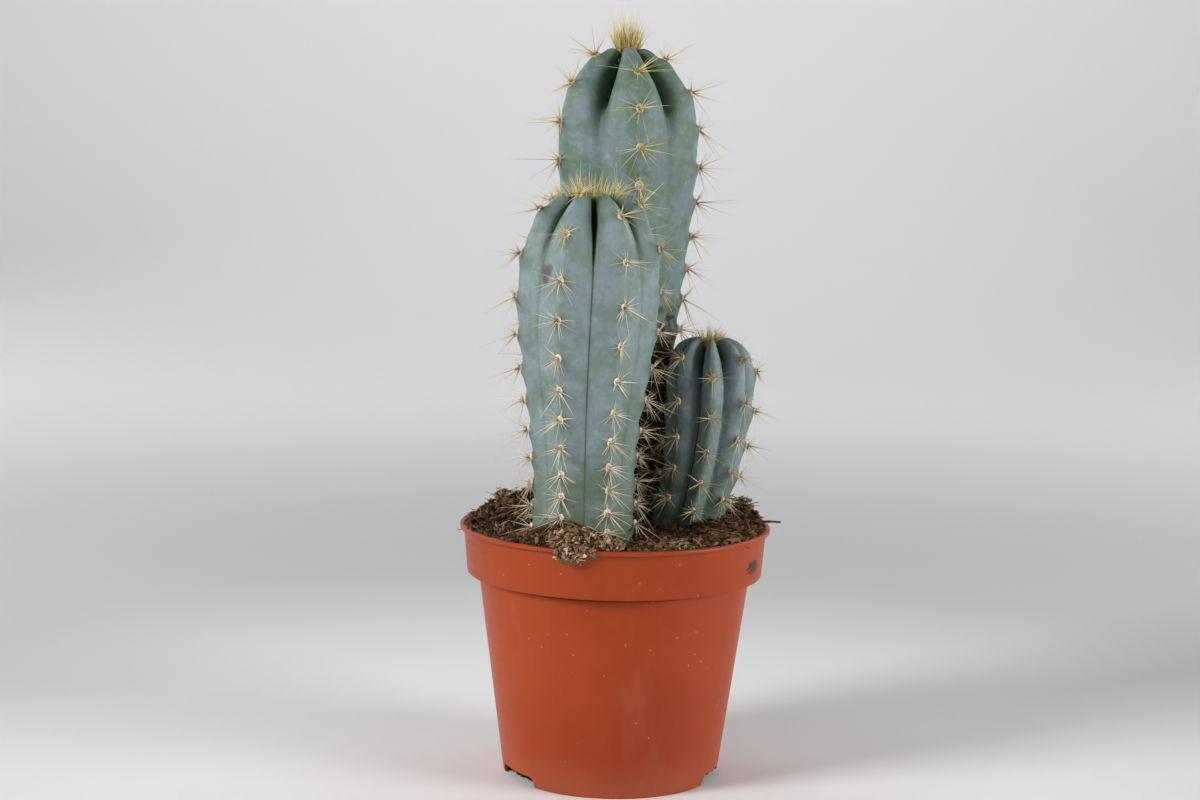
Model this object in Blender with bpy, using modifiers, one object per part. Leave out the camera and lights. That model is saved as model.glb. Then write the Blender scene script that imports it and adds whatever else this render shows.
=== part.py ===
"""A potted column cactus: three ribbed stems standing in potting mix, in a plastic nursery pot.

Metres, +Z up. The origin is the middle of the pot's footprint, on the surface that it stands on.
The three stems are seated in the mix. Each grows a woolly pad with a tuft of new spines on its crown.
"""

import math

import bmesh
import bpy
from mathutils import Matrix, Vector, noise

# The gap that touching pieces keep, and the wider one that a turned or tilted piece gets in the mix.
GAP = 0.00035
SEAT_GAP = 0.00045

# Pot: a tapered cup whose top is a wider collar with a lip, on a skirt that drain slots part.
POT_HEIGHT = 0.097
LIP_RADIUS = 0.060
LIP_HEIGHT = 0.0016
LIP_OVERHANG = 0.0016
COLLAR_HEIGHT = 0.0186
COLLAR_TAPER = 0.0014
BODY_TOP_RADIUS = 0.0525
BODY_BASE_RADIUS = 0.0419
WALL = 0.0012
SKIRT_HEIGHT = 0.0022
EDGE = 0.0004
POT_STEPS = 48
DRAIN_ANGLES = (math.radians(-59), math.radians(73), math.radians(187))
DRAIN_WIDTH = 0.0236
DRAIN_HEIGHT = 0.0040
DRAIN_DEPTH = 0.0052
DRAIN_ROUNDING = 0.0022
# The slots' cutter runs this far below the foot, so that its lower edges cut nothing.
DRAIN_BELOW = 0.003

# Potting mix: level with the rim, and heaped before and behind the stems and at both sides.
SOIL_LEVEL = 0.0955
SOIL_STEPS = 48
SOIL_RINGS = (1.0, 0.90, 0.78, 0.64, 0.48, 0.32, 0.16)
SOIL_ROUGHNESS = 0.0007
SOIL_GRAIN = 120
# Each heap: x, y, height, radius.
SOIL_HEAPS = (
    (-0.034, 0.020, 0.0095, 0.017),
    (0.046, 0.018, 0.0080, 0.015),
    (-0.023, -0.040, 0.0062, 0.0100),
    (-0.012, -0.043, 0.0062, 0.0095),
    (0.040, -0.014, 0.0045, 0.013),
    (0.008, 0.050, 0.0040, 0.020),
)

# Stems. Angles run from the front (-Y) towards +X.
# An outline is a list of (share of the length, share of the widest radius), from the mix to the crown.
# A flute is how deep the valleys are at the foot, at the middle and at the crown, as shares of the radius.
STEMS = {
    "tall_stem": {
        "ribs": 5,
        "first_rib": math.radians(11),
        "foot": Vector((0.0020, 0.0260, 0.097)),
        "crown": Vector((0.0006, 0.0260, 0.2800)),
        "sway": 0.0,
        "radius": 0.0282,
        "flute": (0.17, 0.20, 0.42),
        "outline": (
            (0.00, 0.63), (0.15, 0.65), (0.32, 0.70), (0.48, 0.81), (0.60, 0.905),
            (0.70, 0.965), (0.79, 1.00), (0.86, 0.97), (0.905, 0.885), (0.945, 0.72),
            (0.978, 0.49), (1.00, 0.25), (0.992, 0.11),
        ),
        "areole_steps": (0.0165, 0.0105),
        "lowest_areole": 0.009,
        "tuft": 0.0172,
    },
    "front_stem": {
        "ribs": 7,
        "first_rib": math.radians(-23.5),
        "foot": Vector((-0.0120, -0.0260, 0.096)),
        "crown": Vector((-0.0112, -0.0260, 0.2248)),
        "sway": -0.0006,
        "radius": 0.0265,
        "flute": (0.09, 0.13, 0.40),
        "outline": (
            (0.00, 0.71), (0.12, 0.715), (0.25, 0.735), (0.39, 0.82), (0.50, 0.905),
            (0.60, 0.975), (0.70, 1.00), (0.79, 0.985), (0.86, 0.925), (0.915, 0.82),
            (0.96, 0.67), (0.99, 0.46), (1.00, 0.27), (0.985, 0.12),
        ),
        "areole_steps": (0.0170, 0.0094),
        "lowest_areole": 0.0145,
        "tuft": 0.0085,
    },
    "small_stem": {
        "ribs": 8,
        "first_rib": math.radians(0),
        "foot": Vector((0.0280, 0.0040, 0.097)),
        "crown": Vector((0.0352, 0.0040, 0.1695)),
        "sway": 0.0032,
        "radius": 0.0170,
        "flute": (0.15, 0.24, 0.46),
        "outline": (
            (0.00, 0.80), (0.12, 0.82), (0.25, 0.85), (0.42, 0.90), (0.60, 0.97),
            (0.72, 1.00), (0.83, 0.98), (0.91, 0.89), (0.965, 0.72), (1.00, 0.42),
            (0.985, 0.18),
        ),
        "areole_steps": (0.0150, 0.0100),
        "lowest_areole": 0.009,
        "tuft": 0.0070,
    },
}
# Where a cross-section has its corners, from the crest of a rib (0) to the valley beside it (1).
RIB_CORNERS = (-0.55, -0.15, 0.15, 0.55, 1.0)
# A rib's flank falls as a sum of powers of that distance: (share of the fall, power).
RIB_FALL = ((0.6, 1.6), (0.4, 5))
FLUTE_MIDDLE = 0.6
CROWN_RINGS = (0.35, 0.65, 0.85, 1.0)
# The highest areole is this share of the radius short of the crest line's end.
TOP_AREOLE = 0.45
AREOLE_SHARE = (0.62, 0.45)
AREOLE_PROUD = 0.0010
SEAT_TOP = 0.0115
# The buried end of a stem narrows to a root stock: (depth, share of the radius at the mix).
ROOT_STOCK = ((0.046, 0.10), (0.042, 0.26), (0.032, 0.44), (0.020, 0.72), (0.010, 0.93))

# The pad on a crown, as (share of the last ring's radius, rise).
CROWN_PAD = ((1.10, 0.0009), (0.80, 0.0024), (0.40, 0.0032))
# Spines stand on every such face of the pad, and lean out by so much of their height.
TUFT_SPACING = 3
TUFT_LEAN = 0.55
TUFT_TIP = 0.18

# Loose lumps of peat on the mix: x, y, radius, flattening, seed.
PEAT_LUMPS = (
    (-0.0140, -0.0500, 0.0042, 0.75, 1),
    (-0.0052, -0.0495, 0.0034, 0.80, 2),
    (-0.0228, -0.0482, 0.0034, 0.80, 3),
    (-0.0440, 0.0200, 0.0048, 0.70, 4),
    (-0.0350, 0.0360, 0.0042, 0.75, 5),
    (0.0500, 0.0130, 0.0044, 0.75, 6),
    (0.0420, 0.0310, 0.0046, 0.70, 7),
    (0.0240, -0.0440, 0.0032, 0.80, 8),
    (-0.0430, -0.0190, 0.0036, 0.75, 9),
)
LUMP_ROUGHNESS = 0.28
LUMP_GRAIN = 1.7
LUMP_SEED_STEP = 7.3
LUMP_RISE = 0.10
# Bark chips on the mix: x, y, length, turn in degrees, tilt in degrees.
BARK_CHIPS = (
    (0.0405, -0.0260, 0.0085, 25, 12),
    (-0.0330, -0.0370, 0.0080, -40, -10),
    (0.0120, 0.0500, 0.0090, 70, 8),
    (0.0080, -0.0495, 0.0065, -15, 10),
)
# Width and thickness as shares of the length, the width of the narrow end, the rounding and the rise.
BARK_SHARE = (1.0, 0.42, 0.22)
BARK_NARROW = 0.62
BARK_ROUNDING = 0.05
BARK_RISE = 0.05
TWIG_START = (0.0480, 0.0010)
TWIG_END_Y = -0.0030
TWIG_RADIUS = 0.0007

# name: base colour, roughness
FINISHES = {
    "terracotta_plastic": ((0.44, 0.085, 0.027), 0.38),
    "cactus_skin": ((0.13, 0.22, 0.21), 0.62),
    "potting_mix": ((0.050, 0.028, 0.016), 0.95),
    "dry_peat": ((0.17, 0.095, 0.052), 0.95),
    "bark": ((0.21, 0.115, 0.055), 0.85),
}


def clear_scene():
    for obj in list(bpy.data.objects):
        bpy.data.objects.remove(obj)


def new_collection(name, hidden=False):
    collection = bpy.data.collections.new(name)
    bpy.context.scene.collection.children.link(collection)
    collection.hide_render = hidden
    return collection


def finish_material(name):
    material = bpy.data.materials.get(name)
    if material is None:
        colour, roughness = FINISHES[name]
        material = bpy.data.materials.new(name)
        material.use_nodes = True
        shader = material.node_tree.nodes["Principled BSDF"]
        shader.inputs["Base Color"].default_value = (*colour, 1.0)
        shader.inputs["Roughness"].default_value = roughness
        shader.inputs["Metallic"].default_value = 0.0
    return material


def add_object(name, bm, collection, finish=None, smooth=True):
    """A mesh object from a bmesh, with its normals recalculated and its material set."""
    bmesh.ops.recalc_face_normals(bm, faces=bm.faces)
    mesh = bpy.data.meshes.new(name)
    bm.to_mesh(mesh)
    bm.free()
    if smooth:
        mesh.shade_smooth()
        mesh.set_sharp_from_angle(angle=math.radians(40))
    if finish:
        mesh.materials.append(finish_material(finish))
    obj = bpy.data.objects.new(name, mesh)
    collection.objects.link(obj)
    if finish is None:
        obj.hide_render = True
        obj.display_type = "WIRE"
    return obj


def cut(obj, cutter):
    modifier = obj.modifiers.new("cut_" + cutter.name, "BOOLEAN")
    modifier.operation = "DIFFERENCE"
    modifier.solver = "EXACT"
    modifier.object = cutter


def direction(angle):
    """The flat unit vector at an angle measured from the front (-Y) towards +X."""
    return Vector((math.sin(angle), -math.cos(angle), 0.0))


# Pot


def body_radius(z):
    """The outer radius of the pot's body under the collar."""
    share = z / (POT_HEIGHT - COLLAR_HEIGHT)
    return BODY_BASE_RADIUS + (BODY_TOP_RADIUS - BODY_BASE_RADIUS) * share


def pot_section():
    """The pot's half section as (radius, height), up the inside, over the lip and down the outside."""
    collar_foot = POT_HEIGHT - COLLAR_HEIGHT
    collar_top = LIP_RADIUS - LIP_OVERHANG
    collar_base = collar_top - COLLAR_TAPER
    under_lip = POT_HEIGHT - LIP_HEIGHT
    floor_top = SKIRT_HEIGHT + WALL
    shelf_top = collar_foot + WALL
    return [
        (0.0, floor_top),
        (body_radius(floor_top) - WALL, floor_top),
        (body_radius(collar_foot) - WALL, shelf_top),
        (collar_base - WALL, shelf_top),
        (collar_top - WALL, POT_HEIGHT - EDGE),
        (collar_top - WALL + EDGE, POT_HEIGHT),
        (LIP_RADIUS - EDGE, POT_HEIGHT),
        (LIP_RADIUS, POT_HEIGHT - EDGE),
        (LIP_RADIUS, under_lip + EDGE),
        (LIP_RADIUS - EDGE, under_lip),
        (collar_top, under_lip - EDGE),
        (collar_base, collar_foot + 2 * EDGE),
        (collar_base - EDGE, collar_foot),
        (body_radius(collar_foot), collar_foot),
        (body_radius(0.0), 0.0),
        (body_radius(0.0) - WALL, 0.0),
        (body_radius(SKIRT_HEIGHT) - WALL, SKIRT_HEIGHT),
        (0.0, SKIRT_HEIGHT),
    ]


def make_drain_cutter(cutters):
    """Three rounded blocks round the foot, which cut the skirt and the base plate's edge."""
    bm = bmesh.new()
    for angle in DRAIN_ANGLES:
        size = Vector((DRAIN_WIDTH, 2 * DRAIN_DEPTH, DRAIN_HEIGHT + DRAIN_BELOW))
        middle = direction(angle) * BODY_BASE_RADIUS + Vector((0, 0, (DRAIN_HEIGHT - DRAIN_BELOW) / 2))
        place = Matrix.Translation(middle) @ Matrix.Rotation(angle, 4, "Z") @ Matrix.Diagonal((*size, 1.0))
        made = bmesh.ops.create_cube(bm, size=1.0, matrix=place)
        top_ends = [
            edge
            for vert in made["verts"]
            for edge in vert.link_edges
            if all(v.co.z > 0 for v in edge.verts) and abs(edge.calc_length() - size.y) < 1e-5
        ]
        bmesh.ops.bevel(
            bm, geom=list(set(top_ends)), offset=DRAIN_ROUNDING, segments=3, profile=0.5,
            affect="EDGES", material=-1,
        )
    return add_object("drain_cutter", bm, cutters)


def make_pot(parts, cutters):
    bm = bmesh.new()
    corners = [bm.verts.new((r, 0.0, z)) for r, z in pot_section()]
    for a, b in zip(corners, corners[1:]):
        bm.edges.new((a, b))
    mesh = bpy.data.meshes.new("pot")
    bm.to_mesh(mesh)
    bm.free()
    mesh.materials.append(finish_material("terracotta_plastic"))
    pot = bpy.data.objects.new("pot", mesh)
    parts.objects.link(pot)
    turn = pot.modifiers.new("turn", "SCREW")
    turn.axis = "Z"
    turn.angle = 2 * math.pi
    turn.steps = POT_STEPS
    turn.render_steps = POT_STEPS
    turn.use_merge_vertices = True
    turn.merge_threshold = 0.00001
    turn.use_smooth_shade = True
    cut(pot, make_drain_cutter(cutters))
    return pot


# Stems


def smooth_path(points, steps):
    """A curve through points of any dimension, with so many steps between each two (Catmull-Rom)."""
    ends = [points[0], *points, points[-1]]
    path = []
    for i in range(1, len(ends) - 2):
        p0, p1, p2, p3 = (Vector(p) for p in ends[i - 1 : i + 3])
        for step in range(steps):
            t = step / steps
            slope = (p2 - p0) * t
            bend = (2 * p0 - 5 * p1 + 4 * p2 - p3) * t**2
            twist = (3 * p1 - p0 - 3 * p2 + p3) * t**3
            path.append(0.5 * (2 * p1 + slope + bend + twist))
    path.append(Vector(points[-1]))
    return path


def stem_length(stem):
    return stem["crown"].z - stem["foot"].z


def crest_line(stem):
    """The rib crest's line above the mix as (height above the foot, radius, length so far)."""
    line = []
    run = 0.0
    for share, radius_share in smooth_path(stem["outline"], 6):
        point = Vector((share * stem_length(stem), radius_share * stem["radius"]))
        if line:
            run += (point - Vector(line[-1][:2])).length
        line.append((point.x, point.y, run))
    return line


def on_crest(line, run):
    """(height, radius) at a length along the crest line."""
    for (h0, r0, s0), (h1, r1, s1) in zip(line, line[1:]):
        if run <= s1:
            t = (run - s0) / max(s1 - s0, 1e-9)
            return h0 + (h1 - h0) * t, r0 + (r1 - r0) * t
    return line[-1][:2]


def axis_point(stem, height):
    """The middle of the stem at a height above its foot."""
    share = height / stem_length(stem)
    middle = stem["foot"].lerp(stem["crown"], share)
    middle.x += stem["sway"] * math.sin(math.pi * max(share, 0.0))
    return middle


def flute_depth(stem, height):
    """How deep the valleys are, as a share of the radius: shallow at the foot, deep at the crown."""
    foot, middle, crown = stem["flute"]
    share = max(height / stem_length(stem), 0.0)
    if share < FLUTE_MIDDLE:
        return foot + (middle - foot) * share / FLUTE_MIDDLE
    return middle + (crown - middle) * ((share - FLUTE_MIDDLE) / (1 - FLUTE_MIDDLE)) ** 2


def ring_points(stem, height, radius, grow=0.0, ribs_show=1.0):
    """One cross-section, corner by corner round the ribs."""
    middle = axis_point(stem, height)
    depth = flute_depth(stem, height) * ribs_show
    points = []
    for rib in range(stem["ribs"]):
        for corner in RIB_CORNERS:
            fall = sum(share * abs(corner) ** power for share, power in RIB_FALL)
            r = radius * (1 - depth * fall) + grow
            angle = stem["first_rib"] + (rib + corner / 2) * 2 * math.pi / stem["ribs"]
            points.append(middle + direction(angle) * r)
    return points


def areole_bounds(stem, line):
    """The lengths along the crest line that bound the areoles' faces, from the foot to the crown."""
    top_step, low_step = stem["areole_steps"]
    full = line[-1][2]
    run = full - stem["radius"] * TOP_AREOLE
    bounds = [run]
    while run > stem["lowest_areole"]:
        run -= (low_step + (top_step - low_step) * run / full) / 2
        bounds.append(run)
    return bounds[::-1]


def start_ring(bm, points):
    """A ring of vertices at the points, closed by one face."""
    made = bmesh.ops.create_circle(bm, cap_ends=True, radius=1.0, segments=len(points))
    for vert, point in zip(made["verts"], points):
        vert.co = point
    return made["verts"]


def draw_ring(bm, ring, points):
    """Extrudes a ring of vertices to the next ring of points."""
    count = len(ring)
    edges = [bm.edges.get((ring[i], ring[(i + 1) % count])) for i in range(count)]
    grown = bmesh.ops.extrude_edge_only(bm, edges=edges)["geom"]
    fresh = {item for item in grown if isinstance(item, bmesh.types.BMVert)}
    new_ring = [next(e.other_vert(v) for e in v.link_edges if e.other_vert(v) in fresh) for v in ring]
    for vert, point in zip(new_ring, points):
        vert.co = point
    return new_ring


def root_rings(stem, foot_radius, grow=0.0):
    """The rings of the root stock, from its end up to the foot."""
    rings = []
    for depth, share in ROOT_STOCK:
        rings.append(ring_points(stem, -depth, foot_radius * share, grow, ribs_show=share**2))
    rings.append(ring_points(stem, 0.0, foot_radius, grow))
    return rings


def stem_seat(stem):
    """The space in the mix that a stem's root stock takes up, with the gap round it."""
    foot_radius = crest_line(stem)[0][1]
    rings = root_rings(stem, foot_radius, GAP)
    rings[0] = [point - Vector((0, 0, GAP)) for point in rings[0]]
    rings.append(ring_points(stem, SEAT_TOP, foot_radius, GAP))
    bm = bmesh.new()
    ring = start_ring(bm, rings[0])
    for points in rings[1:]:
        ring = draw_ring(bm, ring, points)
    bmesh.ops.contextual_create(bm, geom=ring)
    return bm


def raise_areoles(faces):
    """Draws each face out into a low knob."""
    wide, tall = AREOLE_SHARE
    for face in faces:
        middle = face.calc_center_median()
        lift = face.normal * AREOLE_PROUD
        for vert in face.verts:
            reach = vert.co - middle
            vert.co = middle + lift + Vector((reach.x * wide, reach.y * wide, reach.z * tall))


def grow_tuft(bm, stem, ring):
    """A woolly pad on the last ring, with some of its faces drawn out into new spines."""
    _, share = stem["outline"][-1]
    before = set(bm.faces)
    top = axis_point(stem, stem_length(stem))
    for spread, rise in CROWN_PAD:
        radius = share * stem["radius"] * spread
        points = ring_points(stem, stem_length(stem) + rise, radius, ribs_show=0.0)
        ring = draw_ring(bm, ring, points)
    bmesh.ops.contextual_create(bm, geom=ring)
    pad = [f for f in bm.faces if f not in before and len(f.verts) == 4]
    drawn = bmesh.ops.extrude_discrete_faces(bm, faces=pad[::TUFT_SPACING])["faces"]
    for face in drawn:
        base = face.calc_center_median()
        outward = Vector((base.x - top.x, base.y - top.y, 0.0))
        height = stem["tuft"] + top.z - base.z
        height *= 1 - outward.length / (2 * share * stem["radius"])
        tip = base + Vector((0, 0, height)) + outward.normalized() * height * TUFT_LEAN
        for vert in face.verts:
            vert.co = tip + (vert.co - base) * TUFT_TIP


def make_stem(name, stem, parts):
    """A stem as one closed body: rings drawn up from the root stock and over the crown."""
    line = crest_line(stem)
    bounds = areole_bounds(stem, line)
    bm = bmesh.new()
    rings = root_rings(stem, line[0][1])
    ring = start_ring(bm, rings[0])
    for points in rings[1:]:
        ring = draw_ring(bm, ring, points)
    crests = []
    for number, run in enumerate(bounds):
        height, radius = on_crest(line, run)
        new_ring = draw_ring(bm, ring, ring_points(stem, height, radius))
        # Neighbouring ribs carry their areoles at alternate levels.
        for rib in range(number % 2, stem["ribs"], 2) if number else ():
            left = rib * len(RIB_CORNERS) + 1
            crests.append(bm.faces.get((ring[left], ring[left + 1], new_ring[left + 1], new_ring[left])))
        ring = new_ring
    last = bounds[-1]
    for share in CROWN_RINGS:
        height, radius = on_crest(line, last + (line[-1][2] - last) * share)
        ring = draw_ring(bm, ring, ring_points(stem, height, radius))
    grow_tuft(bm, stem, ring)
    bmesh.ops.recalc_face_normals(bm, faces=bm.faces)
    raise_areoles(bmesh.ops.extrude_discrete_faces(bm, faces=crests)["faces"])
    return add_object(name, bm, parts, "cactus_skin")


# Potting mix and what lies on it


def soil_height(x, y):
    height = SOIL_LEVEL
    for heap_x, heap_y, rise, spread in SOIL_HEAPS:
        distance = math.hypot(x - heap_x, y - heap_y) / spread
        height += rise * math.exp(-distance * distance)
    return height + SOIL_ROUGHNESS * noise.noise(Vector((x, y, 0.0)) * SOIL_GRAIN)


def soil_rings():
    """The mix's rings of points, from the pot's floor up its wall and in across the top."""
    collar_foot = POT_HEIGHT - COLLAR_HEIGHT
    collar_base = LIP_RADIUS - LIP_OVERHANG - COLLAR_TAPER
    low = SKIRT_HEIGHT + WALL + GAP
    step = collar_foot + WALL + GAP
    inset = WALL + GAP
    rim = collar_base + COLLAR_TAPER * (SOIL_LEVEL - collar_foot) / COLLAR_HEIGHT - inset
    sides = [
        (body_radius(low) - inset, low),
        (body_radius(collar_foot) - inset, step),
        (collar_base - inset, step),
    ]
    rings = []
    for radius, height in sides:
        rings.append([(*direction(angle).xy * radius, height) for angle in soil_angles()])
    for share in SOIL_RINGS:
        spots = [direction(angle).xy * rim * share for angle in soil_angles()]
        rings.append([(x, y, soil_height(x, y)) for x, y in spots])
    return rings


def soil_angles():
    return [2 * math.pi * i / SOIL_STEPS for i in range(SOIL_STEPS)]


def make_soil(parts, seats):
    bm = bmesh.new()
    rings = soil_rings()
    ring = start_ring(bm, rings[0])
    for points in rings[1:]:
        ring = draw_ring(bm, ring, points)
    middle = bmesh.ops.contextual_create(bm, geom=ring)["faces"]
    bmesh.ops.poke(bm, faces=middle)
    soil = add_object("potting_mix", bm, parts, "potting_mix")
    for seat in seats:
        cut(soil, seat)
    return soil


def lump(radius, flattening, seed, grow=0.0):
    bm = bmesh.new()
    bmesh.ops.create_icosphere(bm, subdivisions=2, radius=1.0)
    for vert in bm.verts:
        spot = vert.co * LUMP_GRAIN + Vector((seed * LUMP_SEED_STEP, 0, 0))
        rough = 1 + LUMP_ROUGHNESS * noise.noise(spot)
        vert.co = vert.co * (radius * rough + grow)
        vert.co.z *= flattening
    return bm


def rest_on_soil(bm, x, y, rise, turn=0.0, tilt=0.0):
    """Moves a shape to the mix's surface, turned and tilted, with its middle raised above it."""
    place = Matrix.Translation((x, y, soil_height(x, y) + rise))
    place = place @ Matrix.Rotation(turn, 4, "Z") @ Matrix.Rotation(tilt, 4, "X")
    bmesh.ops.transform(bm, matrix=place, verts=bm.verts)
    return bm


def chip(length, grow=0.0):
    size = [length * share + 2 * grow for share in BARK_SHARE]
    bm = bmesh.new()
    bmesh.ops.create_cube(bm, size=1.0, matrix=Matrix.Diagonal((*size, 1.0)))
    for vert in bm.verts:
        if vert.co.x > 0:
            vert.co.y *= BARK_NARROW
    bmesh.ops.bevel(
        bm, geom=bm.edges, offset=length * BARK_ROUNDING, segments=1, profile=0.5, affect="EDGES",
        material=-1,
    )
    return bm


def make_loose_pieces(parts, cutters):
    """Peat lumps and bark chips, half sunk in the mix, and the bodies that seat them."""
    seats = []
    for number, (x, y, radius, flattening, seed) in enumerate(PEAT_LUMPS, start=1):
        rise = radius * LUMP_RISE
        name = f"peat_lump_{number}"
        add_object(name, rest_on_soil(lump(radius, flattening, seed), x, y, rise), parts, "dry_peat")
        seat = rest_on_soil(lump(radius, flattening, seed, SEAT_GAP), x, y, rise)
        seats.append(add_object(name + "_seat", seat, cutters))
    for number, (x, y, length, turn, tilt) in enumerate(BARK_CHIPS, start=1):
        place = (x, y, length * BARK_RISE, math.radians(turn), math.radians(tilt))
        name = f"bark_chip_{number}"
        add_object(name, rest_on_soil(chip(length), *place), parts, "bark", smooth=False)
        seat = rest_on_soil(chip(length, SEAT_GAP), *place)
        seats.append(add_object(name + "_seat", seat, cutters))
    return seats


def make_twig(parts):
    """A thin twig that lies on the heap at the right and reaches across the lip."""
    x, y = TWIG_START
    start = Vector((x, y, soil_height(x, y) + TWIG_RADIUS + GAP))
    end = Vector((LIP_RADIUS - TWIG_RADIUS, TWIG_END_Y, POT_HEIGHT + TWIG_RADIUS + GAP))
    bend = start.lerp(end, 0.5) + Vector((0, 0, TWIG_RADIUS))
    curve = bpy.data.curves.new("bark_twig", "CURVE")
    curve.dimensions = "3D"
    curve.bevel_depth = TWIG_RADIUS
    curve.bevel_resolution = 1
    curve.use_fill_caps = True
    spline = curve.splines.new("POLY")
    path = smooth_path([start, bend, end], 3)
    spline.points.add(len(path) - 1)
    for point, place in zip(spline.points, path):
        point.co = (*place, 1.0)
    curve.materials.append(finish_material("bark"))
    twig = bpy.data.objects.new("bark_twig", curve)
    parts.objects.link(twig)


def main():
    clear_scene()
    parts = new_collection("potted_cactus")
    cutters = new_collection("cutters", hidden=True)
    make_pot(parts, cutters)
    stem_seats = []
    for name, stem in STEMS.items():
        make_stem(name, stem, parts)
        stem_seats.append(add_object(name + "_seat", stem_seat(stem), cutters))
    loose_seats = make_loose_pieces(parts, cutters)
    make_soil(parts, stem_seats + loose_seats)
    make_twig(parts)


main()
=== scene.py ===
"""The looks of a potted column cactus: ribbed stems with woolly areoles, in peaty mix, in a plastic pot.

Metres, +Z up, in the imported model's frame. Angles run from the front (-Y) towards +X.
"""

import math
import random

import bmesh
import bpy
from mathutils import Matrix, Vector, noise


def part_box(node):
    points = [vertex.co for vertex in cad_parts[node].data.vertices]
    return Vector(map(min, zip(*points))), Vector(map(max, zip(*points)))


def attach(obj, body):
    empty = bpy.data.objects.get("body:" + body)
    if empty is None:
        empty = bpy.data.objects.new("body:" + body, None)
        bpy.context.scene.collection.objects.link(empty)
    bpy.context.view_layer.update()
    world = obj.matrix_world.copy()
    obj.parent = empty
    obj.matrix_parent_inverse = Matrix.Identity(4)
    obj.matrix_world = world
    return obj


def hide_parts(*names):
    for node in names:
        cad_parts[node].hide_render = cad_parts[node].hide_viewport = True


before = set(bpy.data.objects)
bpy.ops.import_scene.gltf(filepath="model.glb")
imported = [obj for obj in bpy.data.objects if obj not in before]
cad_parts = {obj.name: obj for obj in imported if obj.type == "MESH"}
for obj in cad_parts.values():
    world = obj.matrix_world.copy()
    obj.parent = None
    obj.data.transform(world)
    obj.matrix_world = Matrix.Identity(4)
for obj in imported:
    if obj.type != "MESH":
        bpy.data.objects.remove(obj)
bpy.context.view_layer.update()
draw = random.Random(12)

# The pot's driving sizes come from the frame; its wall, collar and lip are those of the moulding.
POT_LOW, POT_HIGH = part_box("pot")
POT_HEIGHT = POT_HIGH.z
LIP_RADIUS = (POT_HIGH.x - POT_LOW.x) / 2
LIP_HEIGHT = 0.0016
LIP_OVERHANG = 0.0016
COLLAR_HEIGHT = 0.0186
COLLAR_TAPER = 0.0014
BODY_TOP_RADIUS = 0.0525
BODY_BASE_RADIUS = 0.0419
WALL = 0.0012
# The shadow gap under the collar: how deep it goes into the body, and its height.
GROOVE = Vector((0.0005, 0.0008))
SKIRT_HEIGHT = 0.0022
POT_STEPS = 192
DRAIN_ANGLES = (math.radians(-59), math.radians(73), math.radians(187))
DRAIN_SIZE = Vector((0.0236, 0.0104, 0.0040))
DRAIN_BELOW = 0.003
DRAIN_ROUNDING = 0.0024

# Potting mix
SOIL_LEVEL = POT_HEIGHT - 0.0015
SOIL_RIM = 0.0563
# The gap between the mix and the pot, and the rings of faces on the mix.
MIX_GAP = 0.0003
MIX_RINGS = 64
# Each heap: x, y, height, radius.
SOIL_HEAPS = (
    (-0.034, 0.020, 0.0095, 0.017),
    (0.046, 0.018, 0.0080, 0.015),
    (-0.023, -0.040, 0.0062, 0.0100),
    (-0.012, -0.043, 0.0062, 0.0095),
    (0.040, -0.014, 0.0045, 0.013),
    (0.008, 0.050, 0.0040, 0.020),
)

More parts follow.
